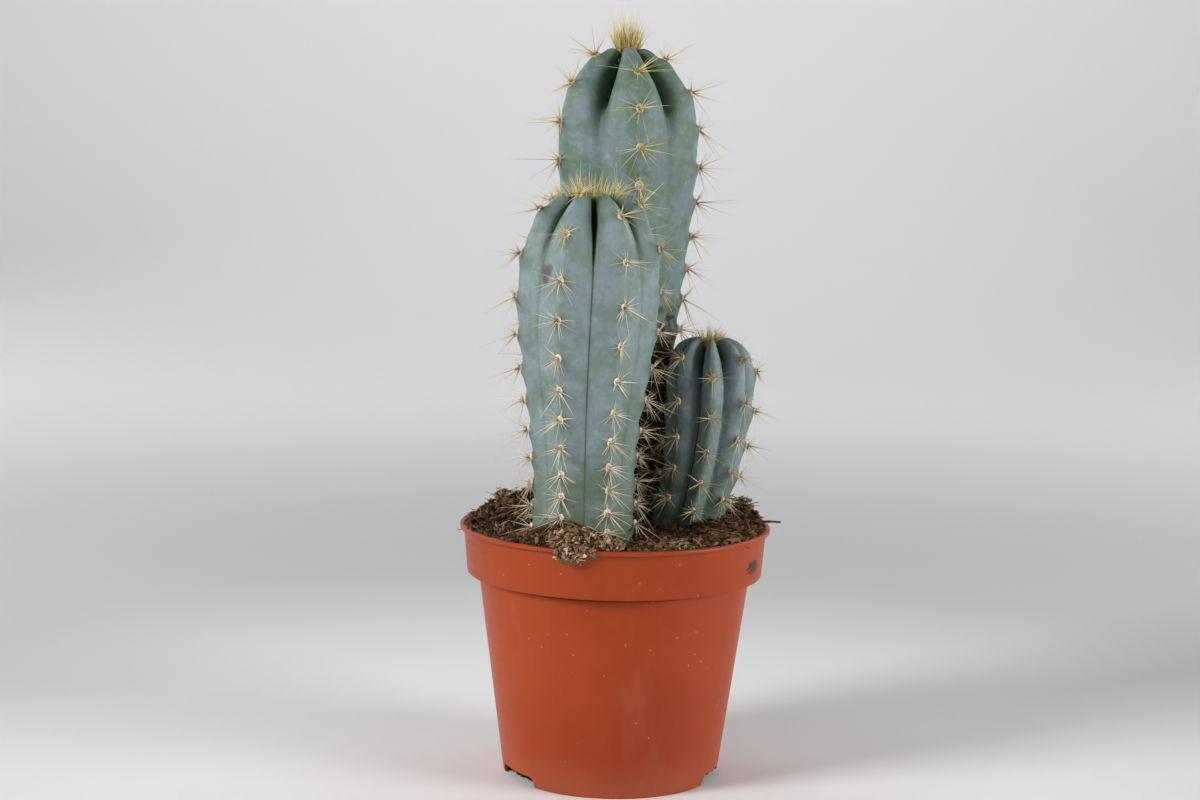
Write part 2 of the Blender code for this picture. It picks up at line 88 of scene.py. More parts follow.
# Stems. An outline is (share of the length, share of the widest radius), from under the mix to the crown.
# A fold is (share of the length, fall of the valley, breadth of the crest, depth of the crease, its width),
# with the fall and the depth as shares of the radius and the width as a share of half a rib.
# The areole steps are those at the crown and at the mix, and first_areoles is how far down each rib starts.
# Radials and centrals are (count, length). Gold is how golden the spines are, pale how bluish the skin is,
# the corky share how much of the stem is browned as cork and painted darker as shade, and the crease shade
# how dark the painted shade along the bottom of the creases is. Slits make the crease after each rib deeper
# or shallower, and wool_drop is how far under the crown its felt lies.
STEMS = {
    "tall_stem": {
        "ribs": 5,
        "first_rib": math.radians(11),
        "foot": Vector((0.0020, 0.0260, 0.097)),
        "crown": Vector((0.0006, 0.0260, 0.2800)),
        "sway": 0.0,
        "radius": 0.0282,
        "outline": (
            (-0.060, 0.00), (-0.055, 0.35), (-0.030, 0.58), (0.00, 0.63), (0.15, 0.65), (0.32, 0.70),
            (0.48, 0.81), (0.60, 0.905), (0.70, 0.965), (0.79, 1.00), (0.86, 0.97), (0.905, 0.885),
            (0.945, 0.72), (0.978, 0.49), (1.00, 0.25), (0.992, 0.11), (0.988, 0.00),
        ),
        "folds": (
            (0.00, 0.13, 0.90, 0.00, 0.10), (0.50, 0.14, 0.90, 0.00, 0.10), (0.78, 0.14, 0.95, 0.00, 0.12),
            (0.86, 0.14, 1.05, 0.08, 0.15), (0.92, 0.15, 1.20, 0.30, 0.17), (1.00, 0.18, 1.40, 0.48, 0.22),
        ),
        "rib_steps": 32,
        "first_areoles": (0.0213, 0.0134, 0.0180, 0.0240, 0.0115),
        "areole_steps": (0.0160, 0.0085),
        "pad": 0.0018,
        "radials": (14, 0.0098),
        "centrals": (5, 0.0165),
        "gold": 0.75,
        "cork_and_shade": 0.62,
        "twist": 0.0,
        "crease_shade": 0.0,
        "pale": 0.0,
        "slits": (1.0, 1.0, 1.0, 1.0, 1.0),
        "wool_drop": 0.0010,
        "tuft": {"count": 300, "ring": (0.0, 0.0044), "length": (0.0110, 0.0225), "lean": 0.36},
    },
    "front_stem": {
        "ribs": 7,
        "first_rib": math.radians(-23.5),
        "foot": Vector((-0.0120, -0.0260, 0.096)),
        "crown": Vector((-0.0112, -0.0260, 0.2248)),
        "sway": -0.0006,
        "radius": 0.0265,
        "outline": (
            (-0.085, 0.00), (-0.078, 0.40), (-0.045, 0.64), (0.00, 0.71), (0.12, 0.715), (0.25, 0.735),
            (0.39, 0.82), (0.50, 0.905), (0.60, 0.975), (0.70, 1.00), (0.79, 0.985), (0.86, 0.925),
            (0.915, 0.82), (0.96, 0.67), (0.99, 0.46), (1.00, 0.27), (0.985, 0.12), (0.980, 0.00),
        ),
        "folds": (
            (0.00, 0.060, 0.75, 0.005, 0.030), (0.45, 0.062, 0.70, 0.007, 0.030),
            (0.66, 0.078, 0.68, 0.014, 0.035), (0.80, 0.110, 0.70, 0.030, 0.050),
            (0.86, 0.130, 0.75, 0.120, 0.065), (0.92, 0.140, 0.80, 0.280, 0.090),
            (1.00, 0.150, 0.90, 0.400, 0.150),
        ),
        "rib_steps": 26,
        "first_areoles": (0.0105, 0.0208, 0.0165, 0.0110, 0.0200, 0.0150, 0.0186),
        "areole_steps": (0.0184, 0.0066),
        "pad": 0.0015,
        "radials": (12, 0.0073),
        "centrals": (5, 0.0122),
        "gold": 0.0,
        "cork_and_shade": 0.0,
        "twist": math.radians(4.5),
        "crease_shade": 0.65,
        "pale": 0.28,
        "slits": (1.0, 0.50, 0.60, 0.70, 0.70, 0.60, 0.62),
        "wool_drop": 0.0032,
        "tuft": {"count": 165, "ring": (0.0010, 0.0120), "length": (0.0060, 0.0138), "lean": 0.70},
    },
    "small_stem": {
        "ribs": 8,
        "first_rib": math.radians(0),
        "foot": Vector((0.0280, 0.0040, 0.097)),
        "crown": Vector((0.0352, 0.0040, 0.1695)),
        "sway": 0.0032,
        "radius": 0.0170,
        "outline": (
            (-0.145, 0.00), (-0.135, 0.45), (-0.080, 0.72), (0.00, 0.80), (0.12, 0.82), (0.25, 0.85),
            (0.42, 0.90), (0.60, 0.97), (0.72, 1.00), (0.83, 0.98), (0.91, 0.89), (0.965, 0.72),
            (1.00, 0.42), (0.985, 0.18), (0.980, 0.00),
        ),
        "folds": (
            (0.00, 0.12, 0.90, 0.06, 0.14), (0.40, 0.14, 0.95, 0.10, 0.16), (0.70, 0.16, 1.05, 0.20, 0.21),
            (0.90, 0.18, 1.15, 0.32, 0.25), (1.00, 0.22, 1.30, 0.38, 0.28),
        ),
        "rib_steps": 18,
        "first_areoles": (0.0225, 0.0158, 0.0215, 0.0150, 0.0225, 0.0160, 0.0210, 0.0155),
        "areole_steps": (0.0178, 0.0085),
        "pad": 0.0014,
        "radials": (12, 0.0072),
        "centrals": (3, 0.0105),
        "gold": 0.45,
        "cork_and_shade": 0.0,
        "twist": 0.0,
        "crease_shade": 0.55,
        "pale": 0.32,
        "slits": (0.55, 1.0, 1.0, 1.0, 1.0, 1.0, 1.2, 1.6),
        "wool_drop": 0.0020,
        "tuft": {"count": 130, "ring": (0.0, 0.0050), "length": (0.0050, 0.0105), "lean": 0.80},
    },
}
ROW_STEP = 0.0007
OUTLINE_STEPS = 12
# A knob stands under each areole and a notch over it: (height, middle along the crest, spread).
KNOB = (0.00085, -0.0012, 0.0034)
NOTCH = (-0.00045, 0.0030, 0.0016)
KNOB_WIDTH = 0.34

# Where dust has stuck to the pot, and how far round each place it reaches.
DUST_PLACES = (
    ((0.0145, -0.0490, 0.0680), 0.010),
    ((0.0178, -0.0470, 0.0575), 0.009),
    ((0.0095, -0.0480, 0.0580), 0.007),
    ((-0.0070, -0.0460, 0.0450), 0.012),
    ((-0.0100, -0.0570, 0.0850), 0.015),
    ((0.0310, -0.0390, 0.0520), 0.009),
)
# The smudge is wider than it is tall, so its heights are counted 2.2 times.
SMUDGE_SQUASH = 2.2
SMUDGE_PLACE = (0.0520, -0.0245, 0.0858 * SMUDGE_SQUASH)
BRUISE_PLACE = (-0.0265, -0.0450, 0.1955)

# The clump at the rim: each heap's middle, its half sizes and how many crumbs are in it.
CLUMP_HEAPS = (
    (Vector((-0.0150, -0.0530, 0.1000)), (0.0095, 0.0042, 0.0042), 340),
    (Vector((-0.0160, -0.0592, 0.0955)), (0.0055, 0.0018, 0.0034), 100),
    (Vector((-0.0105, -0.0594, 0.0966)), (0.0036, 0.0014, 0.0020), 40),
    (Vector((-0.0020, -0.0548, 0.0985)), (0.0060, 0.0028, 0.0022), 110),
)
# Each bark chip: its length, and how many degrees it is turned and tilted.
BARK_CHIPS = ((0.0085, 25, 12), (0.0080, -40, -10), (0.0090, 70, 8), (0.0065, -15, 10))
# How far the twig's tip reaches past its box.
TWIG_BEYOND = 0.0042
# The dark, middle and pale tints of the crumbs in the mix and of the dry peat.
CRUMB_TINTS = ((0.032, 0.017, 0.010), (0.190, 0.104, 0.055), (0.52, 0.35, 0.19))
DRY_TINTS = ((0.070, 0.042, 0.024), (0.33, 0.210, 0.125), (0.74, 0.59, 0.41))
# Strands: the radii of radial spines, central spines, tuft spines, hairs and fibres.
RADIAL_RADII = (0.00013, 0.00018)
CENTRAL_RADII = (0.00017, 0.00023)
TUFT_RADII = (0.00012, 0.00019)
HAIR_RADIUS = 0.00007

# Each lamp: its name, place, size, power and what it is aimed at.
LAMPS = (
    ("left_window", (-1.25, -0.75, 0.78), (0.50, 0.55), 19, (0, 0, 0.14)),
    ("right_window", (1.28, -0.52, 0.46), (0.60, 0.60), 12, (0, 0, 0.14)),
    ("ceiling", (0.0, 0.25, 1.90), (1.6, 1.2), 1, (0, 0, 0.14)),
    ("back_left", (-1.10, 1.20, 0.80), (0.9, 1.1), 4, (0, 0, 0.14)),
    ("back_right", (1.20, 1.10, 0.80), (0.9, 1.1), 4, (0, 0, 0.14)),
    ("wall_wash", (0.0, 1.25, 1.25), (1.0, 0.5), 6.5, (0, 2.4, 0.5)),
)
WORLD_LIGHT = 0.07


# Shapes


def smooth_path(points, steps):
    """A curve through points of any dimension, with so many steps between each two (Catmull-Rom)."""
    ends = [points[0], *points, points[-1]]
    path = []
    for i in range(1, len(ends) - 2):
        p0, p1, p2, p3 = (Vector(p) for p in ends[i - 1 : i + 3])
        for step in range(steps):
            t = step / steps
            slope = (p2 - p0) * t
            bend = (2 * p0 - 5 * p1 + 4 * p2 - p3) * t**2
            twist = (3 * p1 - p0 - 3 * p2 + p3) * t**3
            path.append(0.5 * (2 * p1 + slope + bend + twist))
    path.append(Vector(points[-1]))
    return path


def direction(angle):
    """The flat unit vector at an angle measured from the front (-Y) towards +X."""
    return Vector((math.sin(angle), -math.cos(angle), 0.0))


def between(keys, at):
    """The values at a place in a list of keys whose first value is the place."""
    for low, high in zip(keys, keys[1:]):
        if at <= high[0]:
            t = max(0.0, (at - low[0]) / (high[0] - low[0]))
            return [a + (b - a) * t for a, b in zip(low[1:], high[1:])]
    return list(keys[-1][1:])


def new_layers(bm, *names):
    """The bmesh's layers of one number for each vertex."""
    return {name: bm.verts.layers.float.new(name) for name in names}


def put_in_scene(name, data):
    made = bpy.data.objects.new(name, data)
    bpy.context.scene.collection.objects.link(made)
    return made


def turned(line, steps, merge):
    """A bmesh that a line of (radius, height) makes when it is turned right round."""
    bm = bmesh.new()
    corners = [bm.verts.new((radius, 0.0, height)) for radius, height in line]
    edges = [bm.edges.new(pair) for pair in zip(corners, corners[1:])]
    bmesh.ops.spin(
        bm, geom=[*corners, *edges], cent=(0, 0, 0), axis=(0, 0, 1), angle=2 * math.pi, steps=steps,
        use_merge=True, use_duplicate=False,
    )
    bmesh.ops.remove_doubles(bm, verts=bm.verts, dist=merge)
    return bm


def add_piece(name, bm, material, stands_for=(), recalc=False, sharp=0):
    """Makes a bmesh a shown piece of the part."""
    if recalc:
        bmesh.ops.recalc_face_normals(bm, faces=bm.faces)
    mesh = bpy.data.meshes.new(name)
    bm.to_mesh(mesh)
    bm.free()
    mesh.shade_smooth()
    if sharp:
        mesh.set_sharp_from_angle(angle=math.radians(sharp))
    mesh.materials.append(material)
    piece = put_in_scene(name, mesh)
    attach(piece, "root")
    if stands_for:
        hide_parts(*stands_for)


def new_shape(name, bm):
    """A mesh that copies are taken from, and that isn't shown itself."""
    mesh = bpy.data.meshes.new(name)
    bm.to_mesh(mesh)
    bm.free()
    return mesh


def add_copy(bm, shape):
    """Adds a copy of a shape to a bmesh and returns its vertices."""
    first = len(bm.verts)
    bm.from_mesh(shape)
    bm.verts.ensure_lookup_table()
    return bm.verts[first:]


def strand_shape(name, sides, pieces, tip):
    """A tapering strand of unit length and radius that stands on the origin."""
    bm = bmesh.new()
    bmesh.ops.create_cone(
        bm, cap_ends=True, segments=sides, radius1=1.0, radius2=tip, depth=1.0,
        matrix=Matrix.Translation((0, 0, 0.5)),
    )
    for piece in range(1, pieces):
        bmesh.ops.bisect_plane(
            bm, geom=[*bm.verts, *bm.edges, *bm.faces], plane_co=(0, 0, piece / pieces), plane_no=(0, 0, 1)
        )
    return new_shape(name, bm)


def lay_strand(bm, shape, root, aim, length, radius, bend):
    """Adds a strand from its root along its aim, bent sideways towards its tip. Returns (vertex, share)."""
    aim = aim.normalized()
    side = aim.orthogonal().normalized()
    across = aim.cross(side)
    laid = []
    for vert in add_copy(bm, shape):
        x, y, share = vert.co
        vert.co = root + aim * (length * share) + (side * x + across * y) * radius + bend * (share * share)
        laid.append((vert, share))
    return laid


def lump_shape(name, subdivisions, roughness, seed):
    bm = bmesh.new()
    bmesh.ops.create_icosphere(bm, subdivisions=subdivisions, radius=1.0)
    for vert in bm.verts:
        spot = vert.co * 1.6 + Vector((seed * 9.1, 0, 0))
        vert.co *= 1 + roughness * noise.noise(spot) + 0.5 * roughness * noise.noise(spot * 2.7)
    return new_shape(name, bm)


# Finishes


def feed(tree, socket, value):
    """Links a socket to an input, or sets the input to a value. A colour is given as red, green and blue."""
    if isinstance(value, bpy.types.NodeSocket):
        tree.links.new(value, socket)
    elif socket.type == "RGBA":
        socket.default_value = (*value, 1.0)
    else:
        socket.default_value = value


def wire(tree, kind, inputs=None, **settings):
    """Adds a shader node, sets it and links or sets its inputs."""
    made = tree.nodes.new("ShaderNode" + kind)
    for name, value in settings.items():
        setattr(made, name, value)
    for key, value in (inputs or {}).items():
        feed(tree, made.inputs[key], value)
    return made


def maths(tree, operation, a, b=0.0, clamp=False):
    return wire(tree, "Math", {0: a, 1: b}, operation=operation, use_clamp=clamp).outputs[0]


def step_up(tree, value, low, high):
    """0 below low, 1 above high and smooth between. Low may be above high, which turns it round."""
    limits = {"Value": value, "From Min": low, "From Max": high}
    return wire(tree, "MapRange", limits, interpolation_type="SMOOTHSTEP").outputs["Result"]


def blend(tree, share, a, b):
    """The mix of two colours."""
    return wire(tree, "Mix", {0: share, 6: a, 7: b}, data_type="RGBA").outputs[2]


def new_effect(name, inputs, outputs):
    """A shader node group. Inputs are (name, socket type, value), and outputs are (name, socket type)."""
    group = bpy.data.node_groups.new(name, "ShaderNodeTree")
    for title, kind, value in inputs:
        socket = group.interface.new_socket(title, in_out="INPUT", socket_type="NodeSocket" + kind)
        if value is not None:
            socket.default_value = value
    for title, kind in outputs:
        group.interface.new_socket(title, in_out="OUTPUT", socket_type="NodeSocket" + kind)
    into = group.nodes.new("NodeGroupInput").outputs
    out = group.nodes.new("NodeGroupOutput").inputs
    return group, into, out


def make_mottle():
    """Patches of two colours that run into each other, with a finer pattern inside the patches."""
    group, into, out = new_effect(
        "mottle",
        [("Place", "Vector", None), ("First", "Color", None), ("Second", "Color", None),
         ("Scale", "Float", 40.0), ("Low", "Float", 0.35), ("High", "Float", 0.65)],
        [("Color", "Color"), ("Mask", "Float")],
    )
    pattern = {"Vector": into["Place"], "Scale": into["Scale"], "Detail": 6.0, "Roughness": 0.62}
    patches = wire(group, "TexNoise", pattern).outputs["Fac"]
    mask = step_up(group, patches, into["Low"], into["High"])
    group.links.new(blend(group, mask, into["First"], into["Second"]), out["Color"])
    group.links.new(mask, out["Mask"])
    return group


def make_specks():
    """Scattered specks: 1 on a speck and 0 off it. Rarity from 0 to 1 thins them out."""
    group, into, out = new_effect(
        "specks",
        [("Place", "Vector", None), ("Scale", "Float", 300.0), ("Size", "Float", 0.2),
         ("Rarity", "Float", 0.6)],
        [("Mask", "Float")],
    )
    cells = wire(group, "TexVoronoi", {"Vector": into["Place"], "Scale": into["Scale"]}).outputs
    dots = wire(group, "MapRange", {"Value": cells["Distance"], "From Min": into["Size"], "From Max": 0.0})
    chance = wire(group, "SeparateColor", {0: cells["Color"]}).outputs[0]
    chosen = maths(group, "GREATER_THAN", chance, into["Rarity"])
    group.links.new(maths(group, "MULTIPLY", dots.outputs["Result"], chosen, clamp=True), out["Mask"])
    return group


def make_grain():
    """A height for a bump: fine noise over coarser noise."""
    group, into, out = new_effect(
        "grain",
        [("Place", "Vector", None), ("Scale", "Float", 400.0), ("Coarse", "Float", 0.5)],
        [("Height", "Float")],
    )
    fine = wire(group, "TexNoise", {"Vector": into["Place"], "Scale": into["Scale"], "Detail": 4.0})
    slow = maths(group, "DIVIDE", into["Scale"], 6.0)
    coarse = wire(group, "TexNoise", {"Vector": into["Place"], "Scale": slow, "Detail": 2.0})
    share = maths(group, "MULTIPLY", coarse.outputs["Fac"], into["Coarse"])
    group.links.new(maths(group, "ADD", fine.outputs["Fac"], share), out["Height"])
    return group


MOTTLE = make_mottle()
SPECKS = make_specks()
GRAIN = make_grain()


class Finish:
    """A material in the making: its shader, the object's own place, and the colour laid on so far."""

    def __init__(self, name, roughness, specular=0.5):
        self.material = bpy.data.materials.new(name)
        self.material.use_nodes = True
        self.tree = self.material.node_tree
        self.shader = self.tree.nodes["Principled BSDF"]
        self.place = wire(self.tree, "TexCoord").outputs["Object"]
        self.colour = None
        self.set("Roughness", roughness)
        self.set("Specular IOR Level", specular)

    def set(self, name, value):
        feed(self.tree, self.shader.inputs[name], value)

    def attribute(self, name):
        return wire(self.tree, "Attribute", attribute_name=name).outputs["Fac"]

    def stretch(self, scale):
        return wire(self.tree, "Mapping", {"Vector": self.place, "Scale": scale}).outputs["Vector"]

    def plus(self, a, b, clamp=False):
        return maths(self.tree, "ADD", a, b, clamp)

    def times(self, a, b):
        return maths(self.tree, "MULTIPLY", a, b)

    def step_up(self, value, low, high):
        return step_up(self.tree, value, low, high)

    def ragged(self, value, pattern, size):
        """A value made uneven by a pattern whose middle is a half."""
        return self.plus(value, self.times(self.plus(pattern, -0.5), size))

    def away(self, spot, place=None):
        """How far it is to a spot."""
        spots = {0: place or self.place, 1: spot}
        return wire(self.tree, "VectorMath", spots, operation="DISTANCE").outputs["Value"]

    def noise(self, scale, detail, place=None):
        pattern = {"Vector": place or self.place, "Scale": scale, "Detail": detail}
        return wire(self.tree, "TexNoise", pattern).outputs["Fac"]

    def effect(self, group, place, **inputs):
        made = self.tree.nodes.new("ShaderNodeGroup")
        made.node_tree = group
        feed(self.tree, made.inputs["Place"], place or self.place)
        for name, value in inputs.items():
            feed(self.tree, made.inputs[name], value)
        return made.outputs

    def mottle(self, scale, low, high, first, second, place=None):
        """Patches of two colours, as the colour and the mask of the second."""
        made = self.effect(MOTTLE, place, First=first, Second=second, Scale=scale, Low=low, High=high)
        return made["Color"], made["Mask"]

    def patches(self, scale, low, high, place=None):
        return self.effect(MOTTLE, place, Scale=scale, Low=low, High=high)["Mask"]

    def specks(self, scale, size, rarity, place=None):
        return self.effect(SPECKS, place, Scale=scale, Size=size, Rarity=rarity)["Mask"]

    def grain(self, scale, coarse):
        return self.effect(GRAIN, None, Scale=scale, Coarse=coarse)["Height"]

    def lay(self, share, most, colour):
        """Lays a colour over what is there, where share says and at most so strongly."""
        if most != 1.0:
            share = self.times(share, most)
        self.colour = blend(self.tree, share, self.colour, colour)

    def finished(self, height, strength, distance):
        """The material, with its colour and a fine relief."""
        relief = wire(self.tree, "Bump", {"Height": height, "Strength": strength, "Distance": distance})
        self.set("Normal", relief.outputs["Normal"])
        self.set("Base Color", self.colour)
        return self.material


def dust_pot(pot):
    """A dusty film, thicker at the foot, and splashes of dry mix. Returns the film."""
    dusty = pot.patches(60.0, 0.52, 0.80, pot.stretch((1, 1, 0.35)))
    height = wire(pot.tree, "SeparateXYZ", {0: pot.place}).outputs["Z"]
    near_foot = pot.step_up(height, 0.018, 0.0)
    film = pot.plus(pot.times(dusty, 0.10), pot.times(near_foot, 0.14), clamp=True)
    pot.lay(film, 1.0, (0.50, 0.30, 0.20))
    splashed = 0.0
    for spot, reach in DUST_PLACES:
        splashed = maths(pot.tree, "MAXIMUM", splashed, pot.step_up(pot.away(spot), reach, 0.0))
    rarity = maths(pot.tree, "SUBTRACT", 0.94, pot.times(splashed, 0.34))
    pot.lay(pot.specks(420.0, 0.20, rarity), 0.60, (0.66, 0.44, 0.32))
    return film


def soil_pot(pot):
    """The smudge on the collar and specks of wet mix."""
    ragged = pot.noise(460.0, 3.0, pot.stretch((1, 1, 2.5)))
    smudge = pot.ragged(pot.away(SMUDGE_PLACE, pot.stretch((1, 1, SMUDGE_SQUASH))), ragged, 0.013)
    pot.lay(pot.step_up(smudge, 0.0064, 0.0036), 0.9, (0.035, 0.016, 0.010))
    grime = pot.specks(170.0, 0.14, 0.965, pot.stretch((1, 1, 0.8)))
    pot.lay(grime, 0.85, (0.06, 0.022, 0.012))


def pot_plastic():
    """Moulded terracotta-coloured plastic, with dust, splashes of mix and fine scuffs."""
    pot = Finish("terracotta_plastic", 0.36, 0.36)
    pot.colour, _ = pot.mottle(14.0, 0.3, 0.7, (0.37, 0.064, 0.015), (0.315, 0.050, 0.011))
    film = dust_pot(pot)
    soil_pot(pot)
    scuffs = pot.noise(1.0, 3.0, pot.stretch((60, 60, 900)))
    rough = pot.plus(pot.times(scuffs, 0.10), 0.31)
    pot.set("Roughness", pot.plus(rough, pot.times(film, 0.9), clamp=True))
    return pot.finished(pot.grain(900.0, 1.6), 0.10, 0.0006)


def bloom_skin(skin, flank):
    """The wax on the skin: bluish on the ribs' sides, paler in spots and rubbed off in patches, with a
    painted highlight along the crests.
    """
    lilac = skin.patches(75.0, 0.48, 0.66, skin.stretch((1, 1, 0.6)))
    side = skin.step_up(flank, 0.15, 0.55)
    skin.lay(skin.times(lilac, side), 0.60, (0.200, 0.222, 0.290))
    skin.lay(skin.attribute("pale"), 1.0, (0.34, 0.39, 0.43))
    skin.lay(skin.patches(330.0, 0.50, 0.74), 0.46, (0.33, 0.40, 0.38))
    worn = skin.patches(900.0, 0.50, 0.78, skin.stretch((1, 1, 0.45)))
    skin.lay(worn, 0.40, (0.085, 0.135, 0.110))
    # Painted highlight: a pale lilac line along the rib crests.
    crest_highlight = skin.times(skin.step_up(flank, 0.17, 0.0), lilac)
    skin.lay(crest_highlight, 0.35, (0.31, 0.36, 0.41))
    skin.lay(skin.patches(48.0, 0.52, 0.64), 0.50, (0.105, 0.170, 0.112))


def shade_folds(skin, flank, rise):
    """Greener skin in the folds darkened as painted shade, most of all near the crown, and a painted dark
    shade line along their bottom.
    """
    high = skin.step_up(rise, 0.72, 0.98)
    reach = maths(skin.tree, "SUBTRACT", 0.84, skin.times(high, 0.50))
    depth = skin.plus(skin.times(high, 0.74), 0.22)
    # Painted shade: the folds darkened, wider and deeper near the crown.
    skin.lay(skin.times(skin.step_up(flank, reach, 1.0), depth), 1.0, (0.050, 0.095, 0.045))
    # Painted shade: a dark line along the bottom of each crease.
    crease_shade = skin.times(skin.step_up(flank, 0.955, 0.99), skin.attribute("crease_shade"))
    skin.lay(crease_shade, 1.0, (0.045, 0.075, 0.040))


def mark_skin(skin, wobble):
    """A darker tan ring round each areole, part skin tone and part painted shadow round the felt, the front
    stem's bruise and small pale scars.
    """
    # The ring round each areole: part tone, part painted shadow of the felt pad.
    areole_ring_tone_and_shadow, _ = skin.mottle(400.0, 0.4, 0.6, (0.10, 0.12, 0.09), (0.17, 0.13, 0.085))
    skin.lay(skin.attribute("areole"), 0.55, areole_ring_tone_and_shadow)
    bruise = skin.ragged(skin.away(BRUISE_PLACE), wobble, 0.006)
    skin.lay(skin.step_up(bruise, 0.0045, 0.0016), 0.75, (0.105, 0.048, 0.085))
    skin.lay(skin.specks(210.0, 0.13, 0.955), 0.7, (0.42, 0.46, 0.38))


def cactus_skin():
    """Green skin under a blue-grey bloom, with painted shade in the folds, and at the foot of an old stem
    brown cork that is also painted darker as shade.
    """
    skin = Finish("cactus_skin", 0.55, 0.35)
    flank = skin.attribute("flank")
    rise = skin.attribute("rise")
    skin.colour, bloom = skin.mottle(120.0, 0.38, 0.60, (0.132, 0.198, 0.132), (0.180, 0.245, 0.248))
    bloom_skin(skin, flank)
    shade_folds(skin, flank, rise)
    foot = skin.step_up(rise, 0.42, 0.0)
    patchy = skin.times(foot, skin.plus(skin.times(bloom, -0.35), 0.95))
    skin.lay(patchy, 0.74, (0.108, 0.150, 0.066))
    wobble = skin.noise(260.0, 3.0)
    mark_skin(skin, wobble)
    # Brown cork at the foot of the tall stem, its colour made very dark as painted shade as well.
    brown, _ = skin.mottle(220.0, 0.35, 0.75, (0.030, 0.018, 0.010), (0.105, 0.062, 0.032),
                           skin.stretch((1, 1, 0.4)))
    cork_and_shade = skin.step_up(skin.ragged(skin.attribute("cork_and_shade_ramp"), wobble, 0.7), 0.35, 0.65)
    skin.lay(cork_and_shade, 1.0, brown)
    rough = skin.plus(skin.times(bloom, 0.10), 0.50)
    skin.set("Roughness", skin.plus(rough, skin.times(cork_and_shade, 0.30), clamp=True))
    wrinkle = skin.noise(1.0, 4.0, skin.stretch((260, 260, 700)))
    crinkled = skin.times(wrinkle, skin.plus(foot, 0.35))
    height = skin.plus(skin.grain(1500.0, 1.3), skin.times(crinkled, 1.6))
    height = skin.plus(height, skin.times(skin.times(cork_and_shade, 4.0), wobble))
    return skin.finished(height, 0.30, 0.0005)


def spine_finish():
    """Spines: golden when new and straw later, darker at the root and glassy at the tip."""
    spine = Finish("spines", 0.42)
    gold = spine.attribute("gold")
    along = spine.attribute("along")
    tint = spine.attribute("tint")
    straw = blend(spine.tree, tint, (0.64, 0.50, 0.31), (0.92, 0.85, 0.66))
    golden = blend(spine.tree, tint, (0.46, 0.34, 0.08), (0.82, 0.72, 0.34))
    root = blend(spine.tree, gold, (0.46, 0.31, 0.17), (0.44, 0.27, 0.05))
    tip = blend(spine.tree, gold, (0.66, 0.48, 0.32), (0.74, 0.63, 0.36))
    spine.colour = blend(spine.tree, gold, straw, golden)
    spine.lay(spine.step_up(along, 0.25, 0.0), 1.0, root)
    spine.lay(spine.step_up(along, 0.70, 1.0), 1.0, tip)
    spine.set("Subsurface Weight", 0.15)
    spine.set("Subsurface Radius", (0.0006, 0.0004, 0.0002))
    return spine.finished(spine.grain(2500.0, 0.4), 0.15, 0.0001)


def wool_finish():
    """The felt of the areoles: cream, weathered to tan."""
    wool = Finish("areole_wool", 0.95, 0.15)
    wool.colour, _ = wool.mottle(1100.0, 0.38, 0.62, (0.78, 0.66, 0.50), (0.93, 0.89, 0.80))
    wool.lay(wool.attribute("tint"), 0.35, (0.56, 0.40, 0.25))
    wool.lay(wool.attribute("gold"), 1.0, (0.50, 0.34, 0.11))
    wool.set("Sheen Weight", 0.3)
    return wool.finished(wool.grain(2600.0, 0.8), 0.7, 0.0003)


def mix_finish():
    """Damp potting mix between its crumbs."""
    mix = Finish("potting_mix", 0.95, 0.2)
    mix.colour, _ = mix.mottle(420.0, 0.35, 0.72, (0.022, 0.012, 0.007), (0.110, 0.062, 0.036))
    return mix.finished(mix.grain(900.0, 1.5), 1.0, 0.0012)


def crumb_finish(name, dark, middle, pale):
    """Crumbs and fibres of peat, each with a tint of its own."""
    crumb = Finish(name, 0.92, 0.2)
    tint = crumb.attribute("tint")
    crumb.colour = blend(crumb.tree, crumb.step_up(tint, 0.0, 0.6), dark, middle)
    crumb.lay(crumb.step_up(tint, 0.72, 1.0), 1.0, pale)
    crumb.lay(crumb.patches(900.0, 0.4, 0.75), 0.5, dark)
    return crumb.finished(crumb.grain(2200.0, 1.2), 0.8, 0.0004)


def bark_finish():
    """Bark chips and twigs, with the grain along the chip's own length."""
    bark = Finish("bark", 0.85, 0.25)
    bark.place = wire(bark.tree, "Attribute", attribute_name="before").outputs["Vector"]
    bark.colour, _ = bark.mottle(480.0, 0.36, 0.66, (0.10, 0.050, 0.024), (0.30, 0.175, 0.090),
                                 bark.stretch((0.4, 1.6, 1.6)))
    bark.place = bark.stretch((0.3, 2, 2))
    return bark.finished(bark.grain(1200.0, 1.0), 0.9, 0.0005)


def stage_finish():
    """The pale floor and wall, with a painted shadow ring some way out from the pot, and paler again beyond.
    """
    floor = Finish("pale_floor", 0.75, 0.3)
    floor.colour, _ = floor.mottle(3.0, 0.3, 0.7, (0.80, 0.80, 0.805), (0.77, 0.77, 0.775))
    away = floor.away((0, 0, 0))
    # Painted shadow: a darker ring round the pot on the floor.
    floor.lay(floor.step_up(away, 0.14, 0.40), 1.0, (0.60, 0.60, 0.605))
    floor.lay(floor.step_up(away, 0.40, 1.10), 1.0, (0.72, 0.72, 0.73))
    floor.set("Base Color", floor.colour)
    return floor.material


# Pot


def body_radius(z):
    """The outer radius of the pot's body under the collar."""
    share = z / (POT_HEIGHT - COLLAR_HEIGHT)
    return BODY_BASE_RADIUS + (BODY_TOP_RADIUS - BODY_BASE_RADIUS) * share


def round_corners(corners, steps=3):
    """A line through (radius, height, rounding) corners, each rounded by so many steps."""
    line = [Vector(corners[0][:2])]
    for before, corner, after in zip(corners, corners[1:], corners[2:]):
        point, rounding = Vector(corner[:2]), corner[2]
        start = point + (Vector(before[:2]) - point).normalized() * rounding
        end = point + (Vector(after[:2]) - point).normalized() * rounding
        for step in range(steps + 1):
            t = step / steps
            line.append(start.lerp(point, t).lerp(point.lerp(end, t), t))
    line.append(Vector(corners[-1][:2]))
    return line


